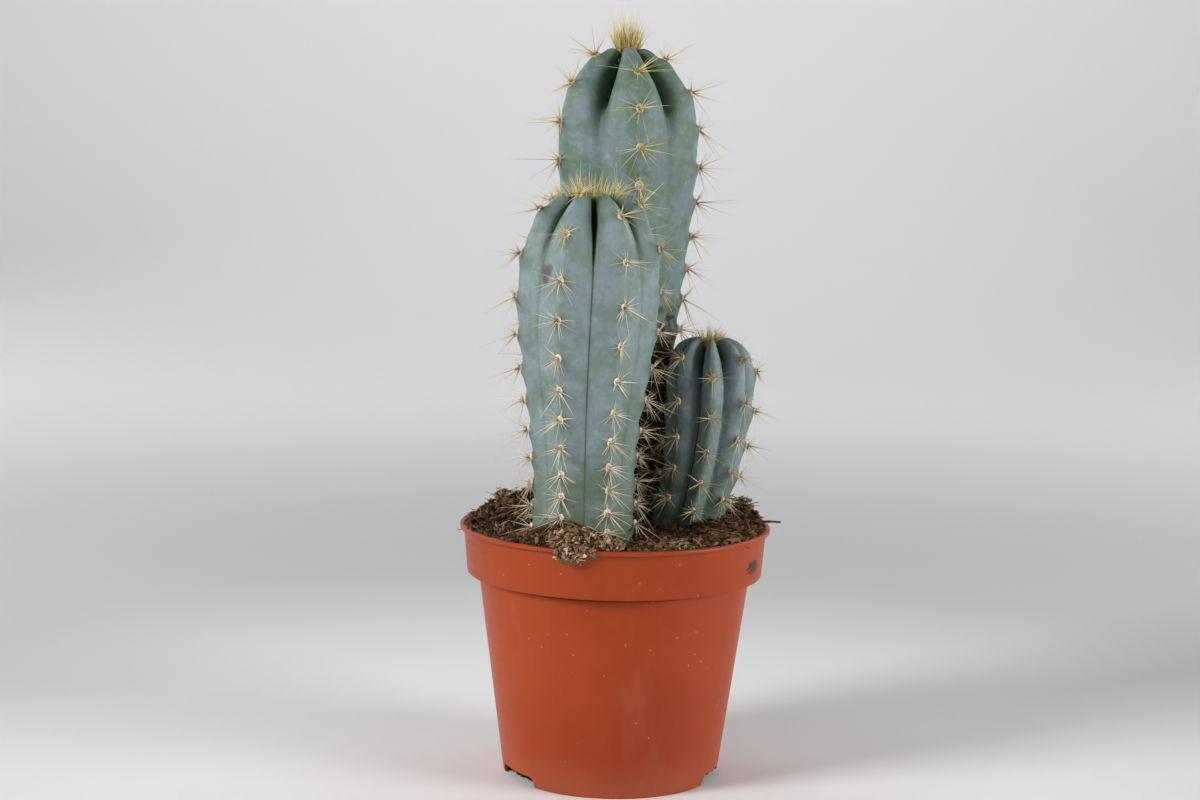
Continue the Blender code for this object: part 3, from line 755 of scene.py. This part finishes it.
def pot_section():
    """The pot's half section, up the inside, over the lip and down the outside."""
    collar_foot = POT_HEIGHT - COLLAR_HEIGHT
    collar_top = LIP_RADIUS - LIP_OVERHANG
    collar_base = collar_top - COLLAR_TAPER
    under_lip = POT_HEIGHT - LIP_HEIGHT
    floor_top = SKIRT_HEIGHT + WALL
    shelf_top = collar_foot + WALL
    fine, middle, soft = 0.0002, 0.0005, 0.0007
    return round_corners([
        (0.0, floor_top, 0),
        (body_radius(floor_top) - WALL, floor_top, middle),
        (body_radius(collar_foot) - WALL, shelf_top, middle),
        (collar_base - WALL, shelf_top, middle),
        (collar_top - WALL, POT_HEIGHT, middle),
        (LIP_RADIUS, POT_HEIGHT, middle),
        (LIP_RADIUS, under_lip, middle),
        (collar_top, under_lip, fine),
        (collar_base, collar_foot, soft),
        (body_radius(collar_foot) - GROOVE.x, collar_foot, fine),
        (body_radius(collar_foot) - GROOVE.x, collar_foot - GROOVE.y, fine),
        (body_radius(collar_foot - GROOVE.y), collar_foot - GROOVE.y - GROOVE.x, fine),
        (body_radius(0.0), 0.0, middle),
        (body_radius(0.0) - WALL, 0.0, fine),
        (body_radius(SKIRT_HEIGHT) - WALL, SKIRT_HEIGHT, fine),
        (0.0, SKIRT_HEIGHT, 0),
    ])


def make_pot(material):
    """The pot: its section turned round, with the drain slots cut out of its foot."""
    bm = turned(pot_section(), POT_STEPS, 0.000001)
    bmesh.ops.recalc_face_normals(bm, faces=bm.faces)
    whole = put_in_scene("pot_whole", new_shape("pot_whole", bm))
    cutter = put_in_scene("drain_cutter", new_shape("drain_cutter", drain_slots()))
    cut = whole.modifiers.new("drain", "BOOLEAN")
    cut.operation = "DIFFERENCE"
    cut.solver = "EXACT"
    cut.object = cutter
    evaluated = whole.evaluated_get(bpy.context.evaluated_depsgraph_get())
    bm = bmesh.new()
    bm.from_mesh(evaluated.to_mesh())
    evaluated.to_mesh_clear()
    bpy.data.objects.remove(whole)
    bpy.data.objects.remove(cutter)
    add_piece("nursery_pot", bm, material, ["pot"], sharp=32)


def drain_slots():
    """Rounded blocks round the foot, which the slots are cut with."""
    bm = bmesh.new()
    width, depth, height = DRAIN_SIZE
    for angle in DRAIN_ANGLES:
        middle = direction(angle) * BODY_BASE_RADIUS + Vector((0, 0, (height - DRAIN_BELOW) / 2))
        size = Matrix.Diagonal((width, depth, height + DRAIN_BELOW, 1.0))
        place = Matrix.Translation(middle) @ Matrix.Rotation(angle, 4, "Z") @ size
        made = bmesh.ops.create_cube(bm, size=1.0, matrix=place)
        upper = {e for v in made["verts"] for e in v.link_edges if all(w.co.z > 0 for w in e.verts)}
        ends = [e for e in upper if abs(e.calc_length() - depth) < 0.0001]
        bmesh.ops.bevel(
            bm, geom=ends, offset=DRAIN_ROUNDING, segments=6, profile=0.5, affect="EDGES", material=-1
        )
    bmesh.ops.recalc_face_normals(bm, faces=bm.faces)
    return bm


# Stems


def stem_length(stem):
    return stem["crown"].z - stem["foot"].z


def crest_line(stem):
    """The rib crest's line as (run, height above the foot, radius, outward and upward part of its normal)."""
    points = []
    for share, radius_share in smooth_path(stem["outline"], OUTLINE_STEPS):
        points.append(Vector((share * stem_length(stem), max(radius_share, 0.0) * stem["radius"])))
    line = []
    run = 0.0
    for i, point in enumerate(points):
        ahead = (points[min(i + 1, len(points) - 1)] - points[max(i - 1, 0)]).normalized()
        line.append((run, point.x, point.y, ahead.x, -ahead.y))
        if i + 1 < len(points):
            run += (points[i + 1] - point).length
    return line


def axis_point(stem, height):
    share = height / stem_length(stem)
    middle = stem["foot"].lerp(stem["crown"], share)
    middle.x += stem["sway"] * math.sin(math.pi * max(share, 0.0))
    return middle


def rib_angle(stem, height, turn):
    """The angle of a turn counted in ribs. The ribs wind a little on their way up."""
    share = max(height / stem_length(stem), 0.0)
    return stem["first_rib"] + turn * 2 * math.pi / stem["ribs"] + stem["twist"] * share**2


def fold_depth(stem, height, radius, flank, fold):
    """How far the skin lies under the crest's line, at a flank from 0 on the crest to 1 in the fold."""
    fall, breadth, crease, width = between(stem["folds"], height / stem_length(stem))
    valley = fall * (0.5 - 0.5 * math.cos(math.pi * flank)) ** breadth
    slit = crease * stem["slits"][fold] * math.exp(-(((1 - flank) / width) ** 2))
    return (valley + slit) * min(radius * 1.5, stem["radius"])


def crown_edge(line):
    """The run at which the crest ends and the crown's hollow begins."""
    return line[-1 - OUTLINE_STEPS][0]


def areole_runs(stem, line, rib):
    """Where a rib's areoles sit along its crest, from the crown down to the mix."""
    full = crown_edge(line)
    buried = next(point[0] for point in line if point[1] >= 0)
    top_step, low_step = stem["areole_steps"]
    down = stem["first_areoles"][rib]
    runs = []
    while full - down > buried + 0.004:
        runs.append(full - down)
        down += low_step + (top_step - low_step) * (1 - down / (full - buried))
        down += draw.uniform(-0.0006, 0.0006)
    return runs


def knob_height(runs, run):
    """How far the crest stands out near the nearest areole."""
    rise = 0.0
    for areole in runs:
        offset = run - areole
        if abs(offset) < 0.012:
            for height, middle, spread in (KNOB, NOTCH):
                rise += height * math.exp(-(((offset - middle) / spread) ** 2))
    return rise


def skin_place(stem, line, run, turn, lift=0.0):
    """The point of the skin at a run along the crest and a turn counted in ribs, raised along its normal."""
    height, radius, outward, upward = between(line, run)
    flank = min(1.0, 2 * abs(turn - round(turn)))
    rise = lift - fold_depth(stem, height, radius, flank, int(turn) % stem["ribs"])
    middle = axis_point(stem, height + upward * rise)
    angle = rib_angle(stem, height, turn)
    return middle + direction(angle) * max(radius + outward * rise, 0.0)


def column_turns(columns, steps):
    """The turn of each column of the skin's grid, counted in ribs. The columns crowd towards the folds."""
    turns = []
    for column in range(columns + 1):
        rib, step = divmod(column, steps)
        even = 2 * step / steps - 1
        turns.append(rib + (0.5 * even + 0.5 * math.sin(even * math.pi / 2)) / 2 + 0.5)
    return turns


def unevenness(angle, radius, height, share):
    """How far the skin stands out by small bumps, and by wrinkles that are strongest at the foot."""
    spot = Vector((math.sin(angle) * radius, math.cos(angle) * radius, height))
    bumps = 0.00045 * noise.noise(spot * 70) + 0.00022 * noise.noise(spot * 210)
    wrinkles = 0.00016 * noise.noise(Vector((spot.x * 160, spot.y * 160, spot.z * 900)))
    return bumps + wrinkles * (1.2 - share)


def make_skin(name, stem, line, ribs, material):
    """The skin as one closed tube: a grid wrapped round the ribs, with knobs, folds and small unevenness."""
    steps = stem["rib_steps"]
    columns = stem["ribs"] * steps
    rows = round(line[-1][0] / ROW_STEP)
    bm = bmesh.new()
    layers = new_layers(bm, "flank", "rise", "cork_and_shade_ramp", "areole", "crease_shade", "pale")
    bmesh.ops.create_grid(bm, x_segments=columns, y_segments=rows, size=1.0)
    bm.verts.ensure_lookup_table()
    turns = column_turns(columns, steps)
    for row in range(rows + 1):
        run = line[-1][0] * row / rows
        height, radius, _, _ = between(line, run)
        share = height / stem_length(stem)
        knobs = [knob_height(runs, run) for runs in ribs]
        nearest = [min(abs(run - areole) for areole in runs) for runs in ribs]
        fade = min(1.0, radius / 0.004)
        for column, turn in enumerate(turns):
            vert = bm.verts[row * (columns + 1) + column]
            turn = turn % stem["ribs"]
            rib = round(turn) % stem["ribs"]
            flank = min(1.0, 2 * abs(turn - round(turn)))
            on_crest = math.exp(-((flank / KNOB_WIDTH) ** 2))
            angle = stem["first_rib"] + turn * 2 * math.pi / stem["ribs"]
            lift = (knobs[rib] * on_crest + unevenness(angle, radius, height, share)) * fade
            vert.co = skin_place(stem, line, run, turn, lift)
            across = flank * math.pi * radius / stem["ribs"]
            vert[layers["flank"]] = flank
            vert[layers["rise"]] = max(share, 0.0)
            vert[layers["crease_shade"]] = stem["crease_shade"] * stem["slits"][int(turn) % stem["ribs"]] ** 3
            vert[layers["pale"]] = stem["pale"]
            vert[layers["areole"]] = max(0.0, 1 - math.hypot(nearest[rib], across) / 0.0034)
            vert[layers["cork_and_shade_ramp"]] = min(1.0, max(0.0, (stem["cork_and_shade"] - share) / 0.4))
    bmesh.ops.remove_doubles(bm, verts=bm.verts, dist=0.000002)
    add_piece(name + "_skin", bm, material, [name], recalc=True)


def areole_frames(stem, line, ribs):
    """(place, outward, upward, distance below the crown's end) of every areole."""
    for rib, runs in enumerate(ribs):
        for run in runs:
            angle = rib_angle(stem, between(line, run)[0], rib)
            place = skin_place(stem, line, run, rib, knob_height(runs, run))
            above = skin_place(stem, line, run + 0.0008, rib, knob_height(runs, run))
            upward = (above - place).normalized()
            outward = direction(angle + math.pi / 2).cross(upward).normalized()
            if outward.dot(direction(angle)) + max(outward.z, 0) < 0:
                outward = -outward
            yield place, outward, upward, crown_edge(line) - run


def tint_strand(laid, layers, gold, tint):
    for vert, share in laid:
        vert[layers["along"]] = share
        vert[layers["gold"]] = gold
        vert[layers["tint"]] = tint


def fan_out(outward, upward, lean, turn):
    """A direction that leans away from outward, at a turn round it counted from the left."""
    sideways = outward.cross(upward).normalized()
    flat = sideways * math.cos(turn) + upward * math.sin(turn)
    return (outward * math.cos(lean) + flat * math.sin(lean)).normalized()


def make_spines(name, stem, line, ribs, shape, material):
    """A ring of radial spines on each areole, and a few longer central ones that stand out and hang."""
    bm = bmesh.new()
    layers = new_layers(bm, "along", "gold", "tint")
    radials, radial_length = stem["radials"]
    centrals, central_length = stem["centrals"]
    full = line[-1][0]
    for place, outward, upward, down in areole_frames(stem, line, ribs):
        youth = max(0.0, 1 - down / (0.45 * full))
        gold = min(1.0, stem["gold"] * 0.6 + youth * 0.8)
        drop = Vector((0, 0, -1)) * 0.0006
        first = draw.uniform(0, 2 * math.pi)
        for spine in range(radials + draw.randint(-2, 2)):
            turn = first + 2 * math.pi * spine / radials + draw.uniform(-0.40, 0.40)
            lean = math.radians(draw.uniform(45, 82))
            length = radial_length * draw.uniform(0.45, 1.20)
            length *= (1 - 0.25 * math.sin(turn)) * (1 + 0.2 * youth)
            aim = fan_out(outward, upward, lean, turn)
            laid = lay_strand(bm, shape, place + outward * 0.0003 + aim * 0.0006, aim, length,
                              draw.uniform(*RADIAL_RADII), drop * draw.uniform(-0.5, 1.2))
            tint_strand(laid, layers, gold, draw.random())
        for _ in range(centrals + draw.randint(-1, 1)):
            turn = draw.uniform(math.radians(150), math.radians(390))
            lean = math.radians(draw.uniform(10, 68))
            length = central_length * draw.uniform(0.5, 1.25)
            aim = fan_out(outward, upward, lean, turn)
            laid = lay_strand(bm, shape, place + outward * 0.0003, aim, length,
                              draw.uniform(*CENTRAL_RADII), drop * draw.uniform(-1.0, 2.0))
            tint_strand(laid, layers, gold, draw.random())
    add_piece(name + "_spines", bm, material)


def make_wool(name, stem, line, ribs, shapes, strand, material):
    """A felt pad on each areole, with a ring of short hairs."""
    bm = bmesh.new()
    layers = new_layers(bm, "along", "gold", "tint")
    for place, outward, upward, down in areole_frames(stem, line, ribs):
        sideways = outward.cross(upward)
        size = stem["pad"] * draw.uniform(0.82, 1.12)
        tint = draw.random()
        gold = min(1.0, stem["gold"] * 0.5 + max(0.0, 0.7 - down / 0.05))
        for vert in add_copy(bm, draw.choice(shapes)):
            x, y, z = vert.co
            vert.co = place + sideways * (x * size * 0.85) + upward * (y * size) + outward * (z * size * 0.5)
            vert[layers["gold"]] = gold
            vert[layers["tint"]] = tint
        for hair in range(14):
            turn = 2 * math.pi * hair / 14 + draw.uniform(-0.3, 0.3)
            aim = fan_out(outward, upward, math.radians(draw.uniform(20, 75)), turn)
            laid = lay_strand(bm, strand, place + aim * size * 0.4, aim, size * draw.uniform(0.6, 1.1),
                              HAIR_RADIUS, Vector((0, 0, -0.0002)))
            tint_strand(laid, layers, gold, tint)
    add_piece(name + "_areoles", bm, material)


def make_tuft(name, stem, shape, material):
    """The new spines on the crown, upright in the middle and leaning out at the edge."""
    bm = bmesh.new()
    layers = new_layers(bm, "along", "gold", "tint")
    tuft = stem["tuft"]
    inner, outer = tuft["ring"]
    crown = axis_point(stem, stem_length(stem))
    for _ in range(tuft["count"]):
        angle = draw.uniform(0, 2 * math.pi)
        out = inner + (outer - inner) * math.sqrt(draw.random())
        spread = out / outer
        root = crown + direction(angle) * out + Vector((0, 0, -0.0012 - 0.10 * out * spread))
        aim = Vector((0, 0, 1)) + direction(angle) * tuft["lean"] * spread * draw.uniform(0.4, 1.5)
        aim += Vector((draw.gauss(0, 0.16), draw.gauss(0, 0.16), 0))
        low, high = tuft["length"]
        length = (high + (low - high) * spread) * draw.uniform(0.55, 1.0)
        laid = lay_strand(bm, shape, root, aim, length, draw.uniform(*TUFT_RADII),
                          direction(angle) * draw.uniform(-0.0002, 0.0008))
        tint_strand(laid, layers, 1.0, draw.random())
    add_piece(name + "_tuft", bm, material)


def make_crown_wool(name, stem, shape, material):
    """The pad of felt that the new spines stand in."""
    bm = bmesh.new()
    layers = new_layers(bm, "gold", "tint")
    crown = axis_point(stem, stem_length(stem))
    _, outer = stem["tuft"]["ring"]
    size = min(outer, 0.0055)
    for vert in add_copy(bm, shape):
        x, y, z = vert.co * size
        vert.co = crown + Vector((x, y, z * 0.45 - stem["wool_drop"]))
        vert[layers["gold"]] = 1.0
        vert[layers["tint"]] = 0.5
    add_piece(name + "_crown_wool", bm, material)


# Potting mix


def soil_height(x, y):
    height = SOIL_LEVEL
    for heap_x, heap_y, rise, spread in SOIL_HEAPS:
        distance = math.hypot(x - heap_x, y - heap_y) / spread
        height += rise * math.exp(-distance * distance)
    height += 0.0009 * noise.noise(Vector((x, y, 0)) * 110)
    return height + 0.0005 * noise.noise(Vector((x, y, 3)) * 420)


def make_mix(material):
    """The body of the mix: a turned cup shape whose top is heaped and crumbly."""
    inset = WALL + MIX_GAP
    low = SKIRT_HEIGHT + inset
    shelf = POT_HEIGHT - COLLAR_HEIGHT + inset
    collar = LIP_RADIUS - LIP_OVERHANG - COLLAR_TAPER - inset
    sides = [
        (0.0, low),
        (body_radius(low) - inset, low),
        (body_radius(shelf) - inset - MIX_GAP, shelf),
        (collar, shelf),
    ]
    tops = [(SOIL_RIM * (1 - ring / MIX_RINGS), SOIL_LEVEL) for ring in range(MIX_RINGS + 1)]
    bm = turned([*sides, *tops], 144, 0.000002)
    for vert in bm.verts:
        if vert.co.z > SOIL_LEVEL - 0.0001:
            vert.co.z = soil_height(vert.co.x, vert.co.y)
    add_piece("mix_body", bm, material, ["potting_mix"], recalc=True)


def under_stem(x, y):
    """Whether a place on the mix is under a stem."""
    for stem in STEMS.values():
        foot_radius = stem["radius"] * between(stem["outline"], 0.0)[0]
        if math.hypot(x - stem["foot"].x, y - stem["foot"].y) < foot_radius * 0.97:
            return True
    return False


def on_mix():
    """A random place on the mix, clear of the stems."""
    while True:
        radius = SOIL_RIM * math.sqrt(draw.random())
        angle = draw.uniform(0, 2 * math.pi)
        x, y = (direction(angle) * radius).xy
        if not under_stem(x, y):
            return x, y, soil_height(x, y)


def strew_lumps(bm, tint_layer, shapes, count, sizes, tints, spot, lift=0.25):
    """Adds crumbs at places given by a spot function, each turned and tinted at random."""
    for _ in range(count):
        x, y, z = spot()
        size = draw.uniform(*sizes) * draw.uniform(0.7, 1.0)
        squash = Matrix.Diagonal((draw.uniform(0.7, 1.3) * size, size, draw.uniform(0.45, 0.9) * size, 1.0))
        turn = Matrix.Rotation(draw.uniform(0, 6.28), 4, Vector((draw.gauss(0, 0.4), draw.gauss(0, 0.4), 1)))
        place = Matrix.Translation((x, y, z + size * lift)) @ turn @ squash
        tint = draw.uniform(*tints)
        for vert in add_copy(bm, draw.choice(shapes)):
            vert.co = place @ vert.co
            vert[tint_layer] = tint


def on_rim():
    """A place where the mix meets the pot, mostly at its left and right."""
    angle = draw.uniform(0, 2 * math.pi)
    if draw.random() > 0.35 + 0.65 * abs(math.sin(angle)):
        angle += math.pi / 2
    radius = LIP_RADIUS - 0.0046 + abs(draw.gauss(0, 0.0012))
    x, y = (direction(angle) * min(radius, LIP_RADIUS - 0.0009)).xy
    return x, y, max(soil_height(x, y), POT_HEIGHT)


def strew_fibres(bm, tint_layer, shape, count, lengths, radii, tints, spot):
    for _ in range(count):
        turn = draw.uniform(0, 2 * math.pi)
        aim = Vector((math.cos(turn), math.sin(turn), draw.uniform(-0.25, 0.75)))
        length = draw.uniform(*lengths)
        bend = Vector((draw.uniform(-1, 1), draw.uniform(-1, 1), draw.uniform(-1.1, 0.1))) * length * 0.45
        root = Vector(spot()) + Vector((0, 0, 0.0005)) - Vector((aim.x, aim.y, 0)) * length * 0.4
        tint = draw.uniform(*tints)
        for vert, _ in lay_strand(bm, shape, root, aim, length, draw.uniform(*radii), bend):
            vert[tint_layer] = tint


def strew_flakes(bm, tint_layer, shape, count, sizes, tints, spot):
    """Thin chips that lie more or less flat."""
    for _ in range(count):
        size = draw.uniform(*sizes)
        thin = Matrix.Diagonal((size, size * draw.uniform(0.3, 0.7), size * 0.14, 1.0))
        tilt = Matrix.Rotation(draw.gauss(0, 0.5), 4, "X") @ Matrix.Rotation(draw.gauss(0, 0.4), 4, "Y")
        lift = Vector((0, 0, size * 0.3 + 0.0004))
        turn = Matrix.Rotation(draw.uniform(0, 6.28), 4, "Z")
        place = Matrix.Translation(Vector(spot()) + lift) @ turn @ tilt @ thin
        tint = draw.uniform(*tints)
        for vert in add_copy(bm, shape):
            vert.co = place @ vert.co
            vert[tint_layer] = tint


def start_strewn():
    bm = bmesh.new()
    return bm, bm.verts.layers.float.new("tint")


def strew_piece(name, material, strew, *what):
    """A piece of mix that is strewn with one kind of thing, as its strewing function is told to."""
    bm, tint = start_strewn()
    strew(bm, tint, *what)
    add_piece(name, bm, material)


def fill_slots(shapes, strand, material):
    """The mix that shows in the drain slots: darkest crumbs, partly mix and partly a dark filling that stands
    in for the shade inside the slots.
    """
    bm, tint = start_strewn()
    for angle in DRAIN_ANGLES:
        for offset in (-0.22, -0.08, 0.08, 0.22):
            middle = direction(angle + offset) * (BODY_BASE_RADIUS - 0.0038) + Vector((0, 0, 0.0029))
            spot = spot_in(middle, (0.0028, 0.0028, 0.0017))
            # Only dark tints, so the crumbs also serve as painted shade inside the slots.
            strew_lumps(bm, tint, shapes, 90, (0.0004, 0.0010), (0.0, 0.30), spot, lift=0.0)
            strew_fibres(bm, tint, strand, 16, (0.001, 0.003), (0.00009, 0.00018), (0.0, 0.5), spot)
    add_piece("mix_and_shade_in_slots", bm, material)


def make_crumbs(shapes, strand, flake, material):
    """Crumbs, fibres and flakes on the mix, in the slots and along the rim."""
    strew_piece("mix_crumbs", material, strew_lumps, shapes, 6500, (0.00035, 0.00085), (0.0, 0.85), on_mix)
    strew_piece("mix_coarse_crumbs", material, strew_lumps, shapes, 1000, (0.0010, 0.0023), (0.0, 0.86),
                on_mix)
    fill_slots(shapes, strand, material)
    strew_piece("rim_crumbs", material, strew_lumps, shapes, 1100, (0.0004, 0.0010), (0.0, 0.85), on_rim)
    strew_piece("peat_fibres", material, strew_fibres, strand, 3200, (0.002, 0.0080), (0.00009, 0.00026),
                (0.15, 1.0), on_mix)
    strew_piece("bark_flakes", material, strew_flakes, flake, 800, (0.0006, 0.0016), (0.3, 0.92), on_mix)


def spot_in(middle, radii):
    """A function that gives random places in an ellipsoid."""
    def spot():
        while True:
            at = Vector((draw.uniform(-1, 1), draw.uniform(-1, 1), draw.uniform(-1, 1)))
            if at.length < 1:
                return tuple(middle[i] + at[i] * radii[i] for i in range(3))
    return spot


def make_clump(name, nodes, heaps, shapes, strand, flake, material):
    """A clump of matted peat: crumbs, fibres and flakes thrown together in each of its heaps."""
    bm, tint = start_strewn()
    for middle, radii, crumbs in heaps:
        spot = spot_in(middle, radii)
        strew_lumps(bm, tint, shapes, crumbs, (0.00050, 0.00135), (0.25, 1.0), spot, lift=0.0)
        strew_fibres(bm, tint, strand, crumbs, (0.0015, 0.0050), (0.00009, 0.00022), (0.4, 1.0), spot)
        strew_flakes(bm, tint, flake, crumbs // 3, (0.0006, 0.0014), (0.5, 1.0), spot)
    add_piece(name, bm, material, nodes)


def make_loose_peat(shapes, strand, flake, material):
    """The pale clump at the rim, and a small clump in place of each other lump."""
    rim_nodes = [f"peat_lump_{number}" for number in range(1, 4)]
    make_clump("rim_clump", rim_nodes, CLUMP_HEAPS, shapes, strand, flake, material)
    for number in range(4, 10):
        node = f"peat_lump_{number}"
        low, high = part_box(node)
        size = (high - low) / 2
        middle = (low + high) / 2
        make_clump(node + "_matted", [node], [(middle, size, 70)], shapes, strand, flake, material)


def make_bark(number, length, turn, tilt, material):
    """A chip of bark, roughened and torn at its ends, with its grain along its length."""
    node = f"bark_chip_{number}"
    low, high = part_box(node)
    bm = bmesh.new()
    bmesh.ops.create_cube(bm, size=1.0)
    bmesh.ops.subdivide_edges(bm, edges=bm.edges, cuts=9, use_grid_fill=True)
    before = bm.verts.layers.float_vector.new("before")
    size = Vector((length, length * 0.42, length * 0.20))
    turned = Matrix.Rotation(math.radians(turn), 4, "Z") @ Matrix.Rotation(math.radians(tilt), 4, "Y")
    place = Matrix.Translation((low + high) / 2) @ turned
    for vert in bm.verts:
        at = vert.co.copy()
        along = abs(at.x) * 2
        at.y *= 1 - 0.35 * along**3
        at.z *= 1 - 0.45 * along**2
        at = Vector((at.x * size.x, at.y * size.y, at.z * size.z))
        rough = noise.noise_vector(Vector((at.x * 180, at.y * 900, at.z * 900 + number)))
        vert[before] = at
        vert.co = place @ (at + Vector((rough.x * 0.0007, rough.y * 0.0004, rough.z * 0.0003)))
    add_piece(f"torn_bark_{number}", bm, material, [node], recalc=True, sharp=50)


def make_twig(material):
    """The thin broken twig that lies across the lip."""
    low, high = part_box("bark_twig")
    root = Vector((low.x, high.y - 0.0007, low.z + 0.0010))
    tip = Vector((high.x + TWIG_BEYOND, low.y, high.z - 0.0002))
    bm = bmesh.new()
    before = bm.verts.layers.float_vector.new("before")
    shape = strand_shape("twig", 10, 14, 0.5)
    aim = tip - root
    laid = lay_strand(bm, shape, root, aim, aim.length, 0.00075, Vector((0, -0.0006, -0.0006)))
    for vert, share in laid:
        knot = noise.noise_vector(vert.co * 700)
        vert[before] = Vector((share * aim.length, vert.co.y, vert.co.z))
        vert.co += knot * 0.0003
    add_piece("broken_twig", bm, material, ["bark_twig"], recalc=True, sharp=50)


# Stage


def make_stage():
    """A pale floor that curves up into a pale wall all round, far outside the views."""
    floor, wall, curve = 2.4, 2.6, 0.9
    line = round_corners([(0.0, 0.0, 0), (floor, 0.0, curve), (floor, wall, 0)], steps=16)
    mesh = new_shape("floor", turned(line, 96, 0.00001))
    mesh.shade_smooth()
    mesh.materials.append(stage_finish())
    put_in_scene("floor", mesh)


def add_softbox(name, place, size, power, aim_at):
    light = bpy.data.lights.new(name, "AREA")
    light.shape = "RECTANGLE"
    light.size, light.size_y = size
    light.energy = power
    box = put_in_scene(name, light)
    box.location = place
    aim = Vector(aim_at) - Vector(place)
    box.rotation_euler = aim.to_track_quat("-Z", "Y").to_euler()


def light_stage():
    for lamp in LAMPS:
        add_softbox(*lamp)
    world = bpy.data.worlds.new("room")
    world.use_nodes = True
    sky = world.node_tree.nodes["Background"]
    sky.inputs["Color"].default_value = (0.97, 0.97, 1.0, 1.0)
    sky.inputs["Strength"].default_value = WORLD_LIGHT
    bpy.context.scene.world = world


def place_camera():
    camera = bpy.data.cameras.new("camera")
    camera.lens = 60
    camera.sensor_width = 36
    camera.clip_start, camera.clip_end = 0.05, 20
    holder = put_in_scene("camera", camera)
    turn = Matrix.Rotation(math.radians(0.51), 4, "Z")
    tilt = Matrix.Rotation(math.radians(90 - 6.62), 4, "X")
    roll = Matrix.Rotation(math.radians(1.17), 4, "Z")
    holder.matrix_world = Matrix.Translation((0, -0.7657, 0.2338)) @ turn @ tilt @ roll
    bpy.context.scene.camera = holder
    bpy.context.scene.view_settings.view_transform = "Standard"
    bpy.context.scene.view_settings.look = "Medium High Contrast"


def main():
    place_camera()
    make_stage()
    light_stage()
    make_pot(pot_plastic())

    skin, spines, wool = cactus_skin(), spine_finish(), wool_finish()
    spine = strand_shape("spine", 4, 4, 0.12)
    hair = strand_shape("hair", 3, 2, 0.4)
    felt = [lump_shape(f"felt_{seed}", 2, 0.25, seed) for seed in range(4)]
    crown_felt = lump_shape("crown_felt", 4, 0.22, 5)
    for name, stem in STEMS.items():
        line = crest_line(stem)
        ribs = [areole_runs(stem, line, rib) for rib in range(stem["ribs"])]
        make_skin(name, stem, line, ribs, skin)
        make_wool(name, stem, line, ribs, felt, hair, wool)
        make_spines(name, stem, line, ribs, spine, spines)
        make_tuft(name, stem, spine, spines)
        make_crown_wool(name, stem, crown_felt, wool)

    make_mix(mix_finish())
    crumbs = [lump_shape(f"crumb_{seed}", 1, 0.9, seed) for seed in range(8)]
    fibre = strand_shape("fibre", 3, 4, 0.6)
    flake = lump_shape("flake", 1, 0.8, 31)
    make_crumbs(crumbs, fibre, flake, crumb_finish("peat_crumbs", *CRUMB_TINTS))
    make_loose_peat(crumbs, fibre, flake, crumb_finish("dry_peat", *DRY_TINTS))
    bark = bark_finish()
    for number, (length, turn, tilt) in enumerate(BARK_CHIPS, start=1):
        make_bark(number, length, turn, tilt, bark)
    make_twig(bark)


main()
